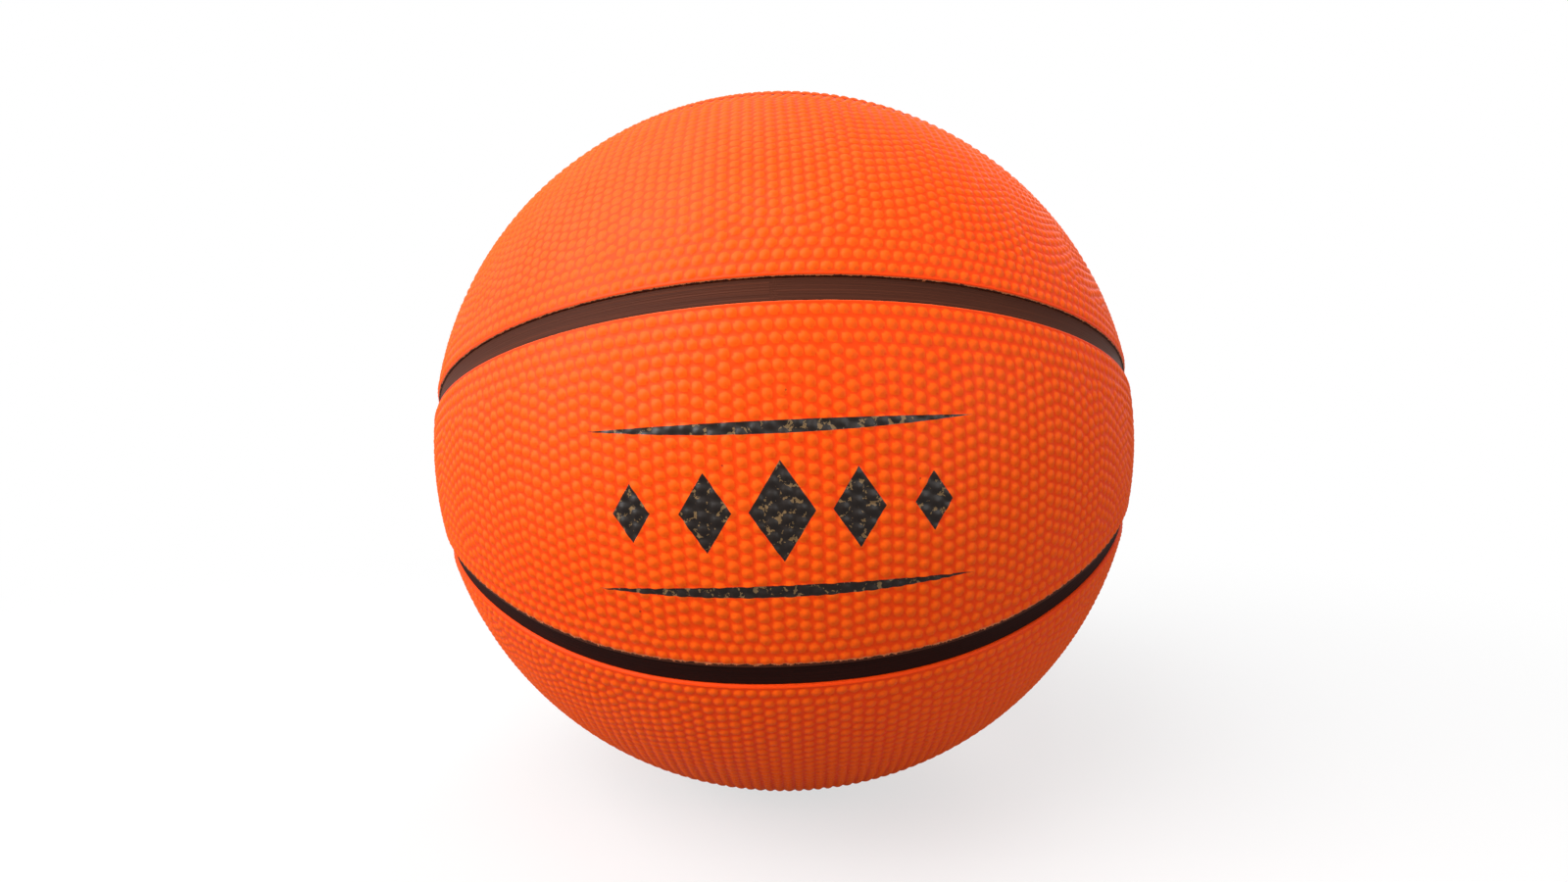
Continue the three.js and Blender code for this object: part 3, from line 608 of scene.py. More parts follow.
def ornament_mask(finish):
    """A plain printed ornament in the middle of the lower front panel: five lozenges in a row between two
    tapering bars, from the distances in millimetres across and up from its middle."""
    spacing, half_width, half_height = 12.0, 5.2, 8.0
    bar_height, bar_reach, each_smaller = 13.0, 31.0, -0.2
    centre = place(math.radians(-0.5), math.radians(-22.5))
    up = unit(np.array([0, 0, 1]) - centre * centre[2])
    right = np.cross(up, -centre)

    def along(direction):
        """Millimetres along a direction."""
        inputs = {0: finish.where, 1: tuple(ball_turn() @ direction)}
        dot = finish.add("VectorMath", inputs, operation="DOT_PRODUCT").outputs["Value"]
        return finish.math("MULTIPLY", dot, 1 / MM)

    across, height = along(right), finish.math("ABSOLUTE", along(up))
    cell = finish.math("ROUND", finish.math("DIVIDE", across, spacing))
    cell = finish.math("MINIMUM", finish.math("MAXIMUM", cell, -2.0), 2.0)
    local = finish.math("ABSOLUTE", finish.scaled(cell, -spacing, across))
    size = finish.scaled(finish.math("ABSOLUTE", cell), each_smaller, 1.0)
    wide, tall = finish.math("DIVIDE", local, half_width), finish.math("DIVIDE", height, half_height)
    lozenge = finish.math("LESS_THAN", finish.math("ADD", wide, tall), size)
    bar_place = finish.math("ABSOLUTE", finish.math("SUBTRACT", height, bar_height))
    reach = finish.math("DIVIDE", finish.math("ABSOLUTE", across), bar_reach)
    taper = finish.scaled(finish.math("POWER", reach, 2.0), -1.0, 1.0)
    return finish.math("MAXIMUM", lozenge, finish.math("LESS_THAN", bar_place, taper))


def seam_material(name, tint):
    """Satin brown-black rubber with fine lines: noise stretched along the strip's own map."""
    finish = Finish(name)
    run = finish.add("UVMap", uv_map="strip").outputs["UV"]
    stretched = finish.add("Mapping", {"Vector": run, "Scale": (1.5, 260.0, 1.0)}).outputs[0]
    lines = finish.noise(10, 4, 0.65, where=stretched)
    slow = finish.math("MULTIPLY", finish.noise(30), 0.4)
    lighter = [min(1, value * 1.8) for value in tint]
    greyer = [0.6 * value + 0.008 for value in tint]
    body = finish.blend(finish.step(lines, 0.45, 0.7), tint, lighter)
    body = finish.blend(slow, body, greyer)
    finish.set(Base_Color=body, Roughness=finish.scaled(lines, 0.2, 0.46), Specular_IOR_Level=0.04)
    finish.bump(lines, 0.35, 0.05)
    return finish.material


def thread_material(tint):
    """Wound thread: three sets of fine crossing lines, each a wave in one direction across the layer."""
    finish = Finish("wound thread")
    height = 0.0
    for turn in ((0.3, 0.2, 0.0), (1.4, 0.5, 0.9), (0.7, 1.2, 2.1)):
        across = finish.add("Mapping", {"Vector": finish.where, "Rotation": turn}).outputs[0]
        inputs = {"Vector": across, "Scale": 300, "Distortion": 1.5, "Detail": 1, "Detail Scale": 0.1}
        height = finish.math("MAXIMUM", height, finish.add("TexWave", inputs).outputs["Fac"])
    darker = [value * 0.45 for value in tint]
    finish.set(Base_Color=finish.blend(height, darker, tint), Roughness=0.85)
    finish.bump(height, 0.6, 0.2)
    return finish.material


def plain_material(name, tint, roughness, grain, spread=0.12, **inputs):
    """A moulded or metal finish: the colour drifts with slow noise, the roughness with finer noise,
    over a fine grain."""
    finish = Finish(name)
    darker = [value * 0.82 for value in tint]
    body = finish.blend(finish.noise(90, 3), tint, darker)
    rough = finish.scaled(finish.noise(420), spread, roughness - spread / 2)
    finish.set(Base_Color=body, Roughness=rough, **inputs)
    finish.grain(*grain)
    return finish.material


# Each plain finish: name, roughness, its grain's scale, strength and depth in millimetres, and further inputs
PLAIN_FINISHES = {
    "bladder": ("bladder rubber", 0.6, (700, 0.3, 0.2), {}),
    "black": ("black rubber", 0.5, (2200, 0.25, 0.1), {"Specular_IOR_Level": 0.3}),
    "pocket": ("milky rubber", 0.4, (900, 0.15, 0.1), {"Transmission_Weight": 0.35, "IOR": 1.45}),
    "white": ("white plastic", 0.38, (1800, 0.12, 0.05), {}),
    "clear": (
        "clear plastic", 0.09, (300, 0.04, 0.05), {"spread": 0.04, "Transmission_Weight": 1, "IOR": 1.49}
    ),
    "led": ("LED resin", 0.14, (300, 0.04, 0.05), {"spread": 0.05, "Transmission_Weight": 0.6, "IOR": 1.54}),
    "board": ("board laminate", 0.34, (1500, 0.12, 0.05), {}),
    "steel": ("nickel steel", 0.3, (3000, 0.1, 0.03), {"Metallic": 1}),
    "brass": ("plain brass", 0.34, (2500, 0.12, 0.03), {"Metallic": 1}),
}
MATERIALS = {}


def make_materials():
    """Every finish of the ball."""
    looks = bpy.context.scene.finishes
    MATERIALS["cover"] = cover_material("cover rubber")
    MATERIALS["printed"] = cover_material("printed cover rubber", printed=True)
    # The seam strips' material comes as a lit copy for the straight and upright strips and a darker, shaded
    # copy for the bowed strips: painted light and shade.
    MATERIALS["seam"] = seam_material("seam rubber", looks.seam)
    MATERIALS["bow_seam"] = seam_material("bowed seam rubber", looks.bow_seam)
    MATERIALS["thread"] = thread_material(looks.thread)
    for key, (name, roughness, grain, inputs) in PLAIN_FINISHES.items():
        MATERIALS[key] = plain_material(name, getattr(looks, key), roughness, grain, **inputs)


# Pebbled panels

def even_points(curve, pitch, start):
    """Points at equal steps along a finely sampled curve on the unit sphere."""
    reach = np.concatenate([[0], np.cumsum(np.linalg.norm(np.diff(curve, axis=0), axis=1))])
    at = np.arange(start * pitch, reach[-1], pitch)
    return unit(np.stack([np.interp(at, reach, line) for line in curve.T], -1))


def thinned(points, others, least):
    """The points that are further than a chord from all the others."""
    if not len(others) or not len(points):
        return points
    return points[chord(points @ others.T).min(1) > least]


def edge_curves(kind, edge, away):
    """Lines at an angle from an edge of a panel: the straight, the bowed or a long panel's two ends."""
    sweep = np.linspace(-QUARTER, QUARTER, 4001)
    if edge == "straight":
        return [place(sweep, away) if kind == "lens" else upright(sweep, away)]
    if edge == "bow":
        return [beside_bow(sweep, -away if kind == "lens" else away)]
    right = upright(QUARTER - sweep, away)
    return [right, right * [-1, 1, 1]]


def edge_rows(kind, pitch, half, first):
    """Pebbles in rows that follow a panel's edges at even distances, the odd rows half a pitch further on."""
    row_step, least, first_inset, row_inset = 0.97 * pitch, 0.83 * pitch, 0.985, 0.97
    plans = [("straight", 0), ("bow", 0), ("straight", 1), ("bow", 1), ("straight", 2)]
    if kind == "lens":
        plans.append(("end", 0))
    rows = np.zeros((0, 3))
    for edge, row in plans:
        beyond = row * row_step
        for curve in edge_curves(kind, edge, half + first + beyond):
            inside = edge_distances(curve, kind, half) > first * first_inset + beyond * row_inset
            if inside.sum() > 2:
                line = even_points(curve[inside], pitch, 0.5 * (row % 2))
                rows = np.concatenate([rows, thinned(line, rows, least)])
    return rows


def bent_lattice(kind, pitch, half, first, rows):
    """Pebbles in even columns, whose rows bend away from the straight edge with the square of the distance
    from the panel's middle, which draws nested arcs. They keep clear of the edge rows."""
    bend = bpy.context.scene.pebble_sizes.row_bend * 180 / math.pi
    highest, least_cosine, least, inset = 1.2, 0.2, 0.8 * pitch, 1.02
    columns, rows_down, rows_up = 90, 260, 90
    across, up = np.arange(-columns, columns + 1) * pitch, np.arange(-rows_down, rows_up) * pitch
    column, row = np.meshgrid(across, up, indexing="ij")
    lat = row + bend * column**2 + half + first
    lon = column / np.maximum(np.cos(lat), least_cosine)
    fits = (lat > 0) & (lat < highest) & (np.abs(lon) < QUARTER)
    lattice = (place if kind == "lens" else upright)(lon[fits], lat[fits])
    lattice = lattice[edge_distances(lattice, kind, half) > first * inset]
    return thinned(lattice, rows, least)


def neighbour_chords(points):
    """The chords between all points, and a long one from each to itself."""
    gap = np.maximum(chord(points @ points.T), 1e-6)
    np.fill_diagonal(gap, 3)
    return gap


def pebble_layout(kind):
    """Directions of a panel's pebbles in the front top quarter, and their radii. The edge rows and the
    lattice inside them get a little disorder, then push each other apart for some rounds, the rows least."""
    ball, pebbles, _, _ = scene_sizes()
    pitch, half, first = np.array([pebbles.pitch, ball.joint, pebbles.first_row]) / ball.radius
    disorder, reach, loose, held = 0.02 * pitch, 1.3 * pitch, 0.22 * pitch, 0.03 * pitch
    widest_share, smallest, largest = 0.45, 0.96, 1.03
    rows = edge_rows(kind, pitch, half, first)
    points = np.concatenate([rows, bent_lattice(kind, pitch, half, first, rows)])
    chance = np.random.default_rng(SEED)
    points = unit(points + chance.normal(0, disorder, points.shape))
    give = np.where(np.arange(len(points)) < len(rows), held, loose)[:, None]
    for _ in range(pebbles.round_steps):
        gap = neighbour_chords(points)
        push = np.maximum(1 - gap / reach, 0) / gap
        points = unit(points + give * (points * push.sum(1, keepdims=True) - push @ points))
    room = neighbour_chords(points).min(1) * ball.radius
    size = np.minimum(pebbles.pebble_radius, widest_share * room)
    return points, size * chance.uniform(smallest, largest, len(points))


def between(first, last, shares):
    """Directions between two lines of directions, at shares of the way across for each column."""
    return unit(first * (1 - shares[..., None]) + last * shares[..., None])


def panel_surface(kind):
    """A panel's two long edges as lines of directions, and the shares of the way across for its rows, which
    lie closer together at the edges."""
    ball, pebbles, _, _ = scene_sizes()
    radius, step = ball.radius, pebbles.mesh_step
    half = ball.joint / radius
    offsets = np.array([0, 0.03, 0.09, 0.18, 0.3, 0.44, 0.6, 0.8, 1.05])
    most = 0.42
    if kind == "lens":
        end = math.acos(math.sin(half) / math.cos(ball.bow_narrowest - half))
        straight_end = math.acos(math.sin(half) / math.cos(half))
        reach = straight_end * radius
        count = int((reach - offsets[-1]) / step)
        near = 1 - offsets / reach
        columns = np.concatenate([-near, np.linspace(-near[-1], near[-1], 2 * count + 1)[1:-1], near[::-1]])
        first, last = place(columns * straight_end, half), beside_bow(columns * end, -half)
    else:
        corner = ball.bow_narrowest + half
        end = math.acos(math.sin(half) / math.cos(corner))
        swing = math.acos(math.sin(corner) / math.cos(half))
        columns = np.linspace(-1, 1, 2 * int(swing * radius / step) + 1)
        first, last = upright(columns * swing, half), beside_bow(columns * end, half)
        last[[0, -1]] = first[[0, -1]]
    widths = np.arccos(np.clip((first * last).sum(1), -1, 1)) * radius
    fit = np.minimum(1, most * widths / offsets[-1])
    low = offsets[:, None] * fit / np.maximum(widths, 1e-9)
    inner = np.linspace(0, 1, int(widths.max() / step))[1:-1, None]
    return first, last, np.concatenate([low, low[-1] + inner * (1 - 2 * low[-1]), 1 - low[::-1]])


def lip(distance, width, drop):
    """How far a rounded edge lies below the face: the drop at the edge, nothing from its width on, and
    between them one less the root of one less the square of the share of the width still to go."""
    left = np.clip(1 - distance / width, 0, 1)
    return drop * (1 - np.sqrt(1 - left**2))


def bell(distance, middle, width):
    """A bell curve of a distance."""
    return np.exp(-(((distance - middle) / width) ** 2))


def pebble_relief(directions, centres, sizes, radius, full_size):
    """The pebbles' relief as a share of the full height: a ball's cap across each foot, lower if small."""
    steep = 0.78
    index, cosine = nearest(directions.astype(np.float32), centres.astype(np.float32))
    foot = sizes[index]
    share = np.minimum(chord(cosine.astype(float)) * radius / foot, 1)
    foot_height = math.sqrt(1 - steep)
    cap = (np.sqrt(1 - steep * share**2) - foot_height) / (1 - foot_height)
    return cap * np.minimum(foot / full_size, 1)


def panel_mesh(name, kind, centres, sizes, flip, hole):
    """One pebbled panel as a closed plate. Its outside is the radius less the pebble height, plus each
    pebble's cap, less the lips along the edges and round a hole, with a bead and a groove along the channels.
    The mesh keeps the pebbles' relief and, on a long panel, where the seam colour lies: the distance in
    millimetres from the bowed seam, for its real paint, or near the other edges a small amount that grows
    with the distance from them, which lays painted shadow on the lips there."""
    ball, pebbles, _, _ = scene_sizes()
    radius, half = ball.radius, ball.joint / ball.radius
    unpainted, groove_share, pebble_room, lip_shade_slope, lip_shade_start = 9.0, 0.6, 1.25, 3, 0.5
    first, last, shares = panel_surface(kind)
    directions = between(first, last, shares)
    edge = np.maximum(edge_distances(directions, kind, half), 0) * radius
    edge[[0, -1]] = 0
    if kind == "cap":
        edge[:, [0, -1]] = 0
    rim = math.inf
    if hole is not None:
        axis, hole_radius = hole
        rim = np.maximum(chord(directions @ axis) * radius - hole_radius, 0)
        clear = chord(centres @ axis) * radius > hole_radius + sizes * pebble_room
        centres, sizes = centres[clear], sizes[clear]
    relief = pebble_relief(directions, centres, sizes, radius, pebbles.pebble_radius)
    bead = bell(edge, pebbles.bead_place, pebbles.bead_width)
    groove = groove_share * bell(edge, pebbles.groove_place, pebbles.groove_width)
    outer = radius - pebbles.height * (1 - relief) + pebbles.bead * (bead - groove)
    outer = outer - lip(edge, pebbles.lip_width, pebbles.lip_drop)
    outer = outer - lip(rim, pebbles.rim_width, pebbles.rim_drop)
    inner = between(first, last, np.linspace(1, 0, 6)[:, None])
    points = np.concatenate([directions * outer[..., None], inner * (radius - ball.cover)])
    mesh, kept = grid_mesh(name, points * flip @ ball_turn().T, True, False)
    paint_and_lip_shade = np.full(edge.shape, unpainted)
    # Along the straight edge and the ends of a long panel the seam colour goes on the lip as painted shadow
    # under the lip; along the bowed edge it is the seam's real paint.
    if kind == "lens":
        paint_and_lip_shade = np.minimum(edge_distances(directions, "bow", half) * radius, lip_shade_slope * edge + lip_shade_start)
    for label, values, inside in (("pebble", relief, 0.0), ("paint_mm", paint_and_lip_shade, unpainted)):
        values = np.concatenate([values, np.full(inner.shape[:2], inside)])
        field = mesh.attributes.new(label, "FLOAT", "POINT")
        field.data.foreach_set("value", values.reshape(-1)[kept].astype(np.float32))
    return mesh


def hole_places():
    """Directions and hole radii of the plugs and the valve, by the panel that they go through."""
    ball, _, light, valve = scene_sizes()
    upper = place(light.upper_longitude, light.upper_latitude)
    plug = light.head + ball.clearance
    return {
        "cap_panel_top_front": (upper, plug),
        "cap_panel_bottom_back": (-upper, plug),
        "lens_panel_top_back": (place(valve.longitude, valve.latitude), valve.neck + ball.clearance),
    }


def build_panels(kind):
    """The four panels of a kind: one layout of pebbles, mirrored to the top, bottom, front and back."""
    centres, sizes = pebble_layout(kind)
    holes = hole_places()
    drill_start, drill_end = 70, 95
    for level, up in (("top", 1), ("bottom", -1)):
        for side, forward in (("front", 1), ("back", -1)):
            node_name = f"{kind}_panel_{level}_{side}"
            flip = np.array([1, forward, up])
            axis, radius = holes.get(node_name, (None, None))
            hole = None if radius is None else (axis * flip, radius)
            mesh = panel_mesh(node_name, kind, centres, sizes, flip, hole)
            if hole is not None:
                turn = ball_turn() @ turn_to(axis)
                drill = stairs(0, drill_start, radius, drill_end, 0)
                mesh = cut(mesh, turned("drill", drill, turn, segments=128))
            material = MATERIALS["printed" if node_name == "lens_panel_bottom_front" else "cover"]
            add_piece(mesh, f"pebbled_{node_name}", "ball", [node_name], "cover_rubber", material, sharp=75)


# Seam strips

def strip_mesh(name, middles, sides, loop):
    """A strip carried along its channel: across it the top is dished with the square of the distance from the
    middle, ridged with three sines that fade at the corners, and rounded there. It goes down to the winding.
    The map runs along and across in metres."""
    ball = scene_sizes()[0]
    half = ball.joint - ball.strip_gap
    fade, corner_share = 8, 16
    across = np.linspace(-1, 1, 57)
    waves = ((1, 31, 0), (0.8, 47, 1), (0.5, 19, 2))
    ridge = sum(height * np.sin(across * count + shift) for height, count, shift in waves)
    inward = 1 - np.abs(across)
    level = ball.radius - ball.channel_depth - ball.strip_dish * (1 - across**2)
    level = level + ball.strip_ridge * ridge * np.clip(inward * fade, 0, 1)
    level = level - ball.strip_corner * np.clip(1 - inward * corner_share, 0, 1) ** 2
    across = np.concatenate([across, [1, -1]])
    level = np.concatenate([level, np.full(2, ball.radius - ball.cover)])[:, None, None]
    turns = (across * half / ball.radius)[:, None, None]
    points = level * (middles * np.cos(turns) + np.asarray(sides) * np.sin(turns))
    mesh, kept = grid_mesh(name, points @ ball_turn().T, True, loop)
    steps = np.linalg.norm(np.diff(middles, axis=0), axis=1) * ball.radius
    run = np.concatenate([[0], np.cumsum(steps)])
    plan = np.stack(np.broadcast_arrays(run, (across * half)[:, None]), -1).reshape(-1, 2)[kept] * MM
    corner = np.zeros(len(mesh.loops), np.int32)
    mesh.loops.foreach_get("vertex_index", corner)
    mesh.uv_layers.new(name="strip").data.foreach_set("uv", plan[corner].astype(np.float32).ravel())
    return mesh


def build_strips():
    """Closed strips along the straight and bowed seams, and six stretches of the upright one."""
    ball = bpy.context.scene.ball_sizes
    columns, fewest, per_radian = 420, 12, 70
    turns = np.arange(columns) / columns * TAU
    bow, beside = beside_bow(turns, 0), beside_bow(turns, QUARTER)
    below = [1, 1, -1]
    strips = {
        "straight": ("seam", place(turns, 0), [0, 0, 1], True),
        # The bowed strips take the shaded copy of the seam paint, a darker colour painted for the shade on
        # them.
        "bow_top": ("bow_seam", bow, beside, True),
        "bow_bottom": ("bow_seam", bow * below, beside * below, True),
    }
    crossing = ball.channel / 2 / ball.radius
    pole = QUARTER - ball.bow_narrowest - crossing
    start, stop = QUARTER - ball.bow_narrowest + crossing, QUARTER - crossing
    stretches = {
        "over_top": (-pole, pole),
        "right_upper": (start, stop),
        "right_lower": (math.pi - stop, math.pi - start),
        "over_bottom": (math.pi - pole, math.pi + pole),
        "left_lower": (math.pi + start, math.pi + stop),
        "left_upper": (-stop, -start),
    }
    for name, (begin, end) in stretches.items():
        middles = upright(np.linspace(begin, end, max(fewest, int((end - begin) * per_radian))), 0)
        strips[name] = ("seam", middles, [0, 1, 0], False)
    for name, (finish, middles, sides, loop) in strips.items():
        node_name = f"seam_strip_{name}"
        mesh = strip_mesh(node_name, middles, sides, loop)
        add_piece(mesh, f"lined_strip_{name}", "ball", [node_name], "seam_rubber", MATERIALS[finish], 50)


# Light units

def unit_fit():
    """The unit's own sizes, the heights along its axis from the ball's centre and the radii that follow from
    each other, as in the solids, and the clearance."""
    ball, _, light, _ = scene_sizes()
    gap = ball.clearance
    fit = SimpleNamespace(plug_top=ball.radius - light.face_depth)
    fit.seat = fit.plug_top - light.head_height
    fit.plug_bottom = fit.seat - light.shank
    fit.cap_top = fit.plug_bottom - gap
    fit.cap_bottom = fit.cap_top - light.cap
    fit.housing_top = fit.cap_bottom - gap
    fit.spigot_bottom = fit.cap_bottom - light.spigot
    fit.cells_top = fit.spigot_bottom - gap
    fit.pitch = light.cell_height + gap
    fit.contact_top = fit.cells_top - 3 * fit.pitch
    fit.contact_bottom = fit.contact_top - light.contact
    fit.ledge_top = fit.contact_bottom - gap
    fit.switch_bottom = fit.ledge_top - light.switch_height - light.switch_wire
    fit.board_top = fit.switch_bottom - gap
    fit.board_bottom = fit.board_top - light.board
    fit.led_top = fit.board_bottom - gap
    fit.housing_bottom = fit.led_top - light.ledge_height
    fit.lens_top = fit.housing_bottom - gap
    fit.lens_centre = fit.lens_top - light.lens_skirt
    fit.bore = light.module - light.housing_wall
    fit.ledge = fit.bore - light.ledge
    fit.cell = fit.bore - light.cell_play
    fit.spigot_outer = fit.bore - gap
    fit.spigot_inner = fit.spigot_outer - light.spigot_wall
    fit.cap_coil = fit.spigot_inner - light.cap_coil_play - light.cap_wire / 2
    fit.led_tip = fit.lens_centre - fit.bore + gap
    fit.winding_outer = ball.radius - ball.cover - ball.facet_gap
    fit.winding_inner = fit.winding_outer - ball.winding
    return light, fit, gap


def unit_sides():
    """The two light units: name and turn from the unit's axis to the world."""
    light = bpy.context.scene.light_unit_sizes
    upper = place(light.upper_longitude, light.upper_latitude)
    return [(name, ball_turn() @ turn_to(axis)) for name, axis in (("upper", upper), ("lower", -upper))]


def add_turned(side, name, body, node_name, slot, finish, profile, slot_sizes=(), **how):
    """A turned piece of a light unit, with a slot in its top if sizes are given for one. The side's name goes
    into the braces of the body's and the node's names."""
    side_name, turn = side
    mesh = turned(name, profile, turn, **how)
    if slot_sizes:
        mesh = slotted(mesh, *slot_sizes, turn)
    nodes = [node_name.format(side_name)]
    add_piece(mesh, f"{name}_{side_name}", body.format(side_name), nodes, slot, MATERIALS[finish])


def build_pockets():
    """The milky pockets: a flange under the cover, a neck round the plug and a deep round-ended cup."""
    light, fit, gap = unit_fit()
    wall, bore, hole = light.pocket_wall, light.module + gap, light.head + gap
    outer, ledge = bore + wall, fit.seat - gap
    below_ledge, above_ledge, ease, waist_ease = 2, 1.2, 0.25, 0.8
    shoulder = [[bore, ledge - below_ledge], [bore, ledge], [hole, ledge], [hole, ledge + above_ledge]]
    top = shell_arc(fit.winding_outer, hole, light.flange, 8)
    under = shell_arc(fit.winding_inner, light.flange, hole + wall, 8)
    waist = [under[-1], [hole + wall, ledge - wall], [outer, ledge - 2 * wall], [outer, ledge - 3 * wall]]
    inside = arc(bore, fit.lens_centre, math.pi, QUARTER, 20)
    outside = arc(outer, fit.lens_centre, QUARTER, math.pi, 20)
    waist = eased(waist, waist_ease)[1:]
    profile = np.concatenate([inside, eased(shoulder, ease), top, under, waist, outside])
    for side in unit_sides():
        add_turned(side, "milky_pocket", "ball", "light_pocket_{}", "clear_rubber", "pocket", profile)


def build_plugs():
    """The access plugs: a head that follows the ball, with a groove and a pry slot, on a ribbed shank."""
    light, fit, _ = unit_fit()
    core, rib = light.module - light.rib_depth, light.shank / 5
    bottom, top, ease = fit.plug_bottom, fit.plug_top, 0.22
    shank = stairs(
        0, bottom, light.module, bottom + rib, core, bottom + 2 * rib, light.module, bottom + 3 * rib,
        core, fit.seat, light.head,
    )
    face = shell_arc(math.hypot(light.head, top), light.head, 0, 40)
    face[:, 1] -= bell(face[:, 0], light.face_groove, light.face_groove_size) * light.face_groove_size
    profile = np.concatenate([eased([*shank, face[0], face[2]], ease)[:-1], face[2:]])
    pry = (light.pry_length, light.pry_width, light.pry_depth, top + light.pry_lift)
    black = ("black_rubber", "black")
    for side in unit_sides():
        add_turned(side, "rubber_plug", "plug_{}", "access_plug_{}", *black, profile, pry, segments=128)


def build_module_shells():
    """The modules' tubes, screw caps with a milled edge and a coin slot, and clear domes."""
    light, fit, _ = unit_fit()
    module, bore, ease, tube_ease = light.module, fit.bore, 0.2, 0.18
    body, white = "module_{}", ("white_plastic", "white")
    tube = stairs(
        fit.ledge, fit.housing_bottom, module, fit.housing_top, bore, fit.ledge_top,
        fit.ledge, fit.ledge_top - light.ledge_height, bore, fit.led_top, fit.ledge,
    )
    cap = stairs(
        0, fit.cap_bottom, fit.spigot_inner, fit.spigot_bottom, fit.spigot_outer, fit.cap_bottom,
        module, fit.cap_top, 0,
    )
    coin = (light.coin_length, light.coin_width, light.coin_depth, fit.cap_top)
    edge = {"segments": 240, "milling": light.milling, "notches": light.notches}
    inside = arc(bore, fit.lens_centre, math.pi, QUARTER, 24)
    outside = arc(module, fit.lens_centre, QUARTER, math.pi, 24)
    brim = eased([inside[-1], [bore, fit.lens_top], [module, fit.lens_top], outside[0]], ease)
    dome = np.concatenate([inside[:-1], brim, outside[1:]])
    tube, cap = eased(tube, tube_ease, True), eased(cap, ease)
    for side in unit_sides():
        add_turned(side, "module_tube", body, "module_housing_{}", *white, tube, closed=True)
        add_turned(side, "milled_cap", body, "module_cap_{}", *white, cap, coin, **edge)
        add_turned(side, "clear_dome", body, "lens_dome_{}", "clear_plastic", "clear", dome)


def build_module_insides():
    """LED, board, contact, switch pin, cells, cap spring and switch spring of each module."""
    light, fit, gap = unit_fit()
    ease, disc_ease, pin_ease, cell_ease = 0.12, 0.08, 0.1, 0.3
    dome = arc(light.led, fit.led_tip + light.led, math.pi, QUARTER, 16)
    rim = stairs(light.led, fit.led_top - light.led_rim_height, light.led_rim, fit.led_top, 0)
    lamp = np.concatenate([dome[:-1], eased([dome[-1], *rim], ease)])
    board = eased(stairs(0, fit.board_bottom, fit.bore - gap, fit.board_top, 0), disc_ease)
    contact = eased(stairs(0, fit.contact_bottom, fit.bore - gap, fit.contact_top, 0), disc_ease)
    pin = eased(stairs(0, fit.switch_bottom, light.pin, fit.ledge_top, 0), pin_ease)
    pieces = [
        ("led_lamp", "led_{}", "red_led_resin", "led", lamp, 0.0),
        ("round_board", "circuit_board_{}", "board_laminate", "board", board, 0.0),
        ("brass_contact", "cell_contact_{}", "brass", "brass", contact, 0.0),
        ("brass_pin", "switch_pin_{}", "brass", "brass", pin, light.switch_offset),
    ]
    for index in range(3):
        top = fit.cells_top - index * fit.pitch
        low = top - light.cell_height
        cell = stairs(0, low, light.cell_button, low + light.button_height, fit.cell, top, 0)
        names = f"steel_cell_{index + 1}", f"button_cell_{{}}_{index + 1}"
        pieces.append((*names, "nickel_steel", "steel", eased(cell, cell_ease), 0.0))
    wire, inner, low = light.cap_wire, light.cap_coil_inner, fit.cells_top + gap + light.cap_wire / 2
    cap_coil = (inner, fit.cap_coil, wire, light.cap_turns, low, light.cap_coil_height)
    wire, radius, low = light.switch_wire, light.switch_coil, fit.switch_bottom + light.switch_wire / 2
    switch = (radius, radius, wire, light.switch_turns, low, light.switch_height)
    coils = [
        ("cap_coil", "module", "cap_spring", cap_coil, 0.0),
        ("switch_coil", "shaker", "switch_spring", switch, light.switch_offset),
    ]
    steel = ("nickel_steel", MATERIALS["steel"], 60)
    for side, turn in unit_sides():
        for name, node_name, slot, finish, profile, offset in pieces:
            names = (name, "module_{}", node_name, slot, finish)
            add_turned((side, turn), *names, profile, segments=64, offset=offset)
        for name, body, node_name, sizes, offset in coils:
            mesh = coil(*sizes, offset, turn)
            add_piece(mesh, f"{name}_{side}", f"{body}_{side}", [f"{node_name}_{side}"], *steel)


def build_valve():
    """The valve: a flange, a neck with a countersunk needle hole, a barrel, and the core in it."""
    ball, _, _, valve = scene_sizes()
    _, fit, gap = unit_fit()
    top = ball.radius - valve.face_depth
    bottom = fit.winding_inner - gap - valve.bladder - valve.depth
    chamber = top - valve.needle_length
    needle, core, mouth = valve.needle, valve.core, valve.needle + valve.sink
    bevel, bevel_height, ease, seal_ease = 0.25, 0.12, 0.2, 0.3
    above = shell_arc(fit.winding_outer, valve.neck, valve.flange, 6)
    below = shell_arc(fit.winding_inner, valve.flange, valve.barrel, 6)
    hole = [[needle, chamber], [needle, top - valve.sink_depth]]
    hole += [[mouth - bevel, top - bevel_height], [mouth, top]]
    rest = [[valve.barrel, bottom], [core + gap, bottom], [core + gap, chamber]]
    profile = eased([*hole, [valve.neck, top], *above, *below, *rest], ease, closed=True)
    turn = ball_turn() @ turn_to(place(valve.longitude, valve.latitude))
    mesh = turned("valve", profile, turn, closed=True)
    add_piece(mesh, "rubber_valve", "ball", ["valve_housing"], "black_rubber", MATERIALS["black"])
    seal = eased(stairs(0, bottom, core, chamber - gap, 0), seal_ease)
    mesh = turned("valve_seal", seal, turn, segments=48)
    add_piece(mesh, "valve_seal", "ball", ["valve_core"], "clear_rubber", MATERIALS["pocket"])


def finish_inner_layers():
    """The winding and the bladder keep their solids' shapes and get their materials."""
    for name, finish in (("thread_winding", "thread"), ("bladder", "bladder")):
        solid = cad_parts[name]
        solid.data.materials.clear()
        solid.data.materials.append(MATERIALS[finish])


# Stage

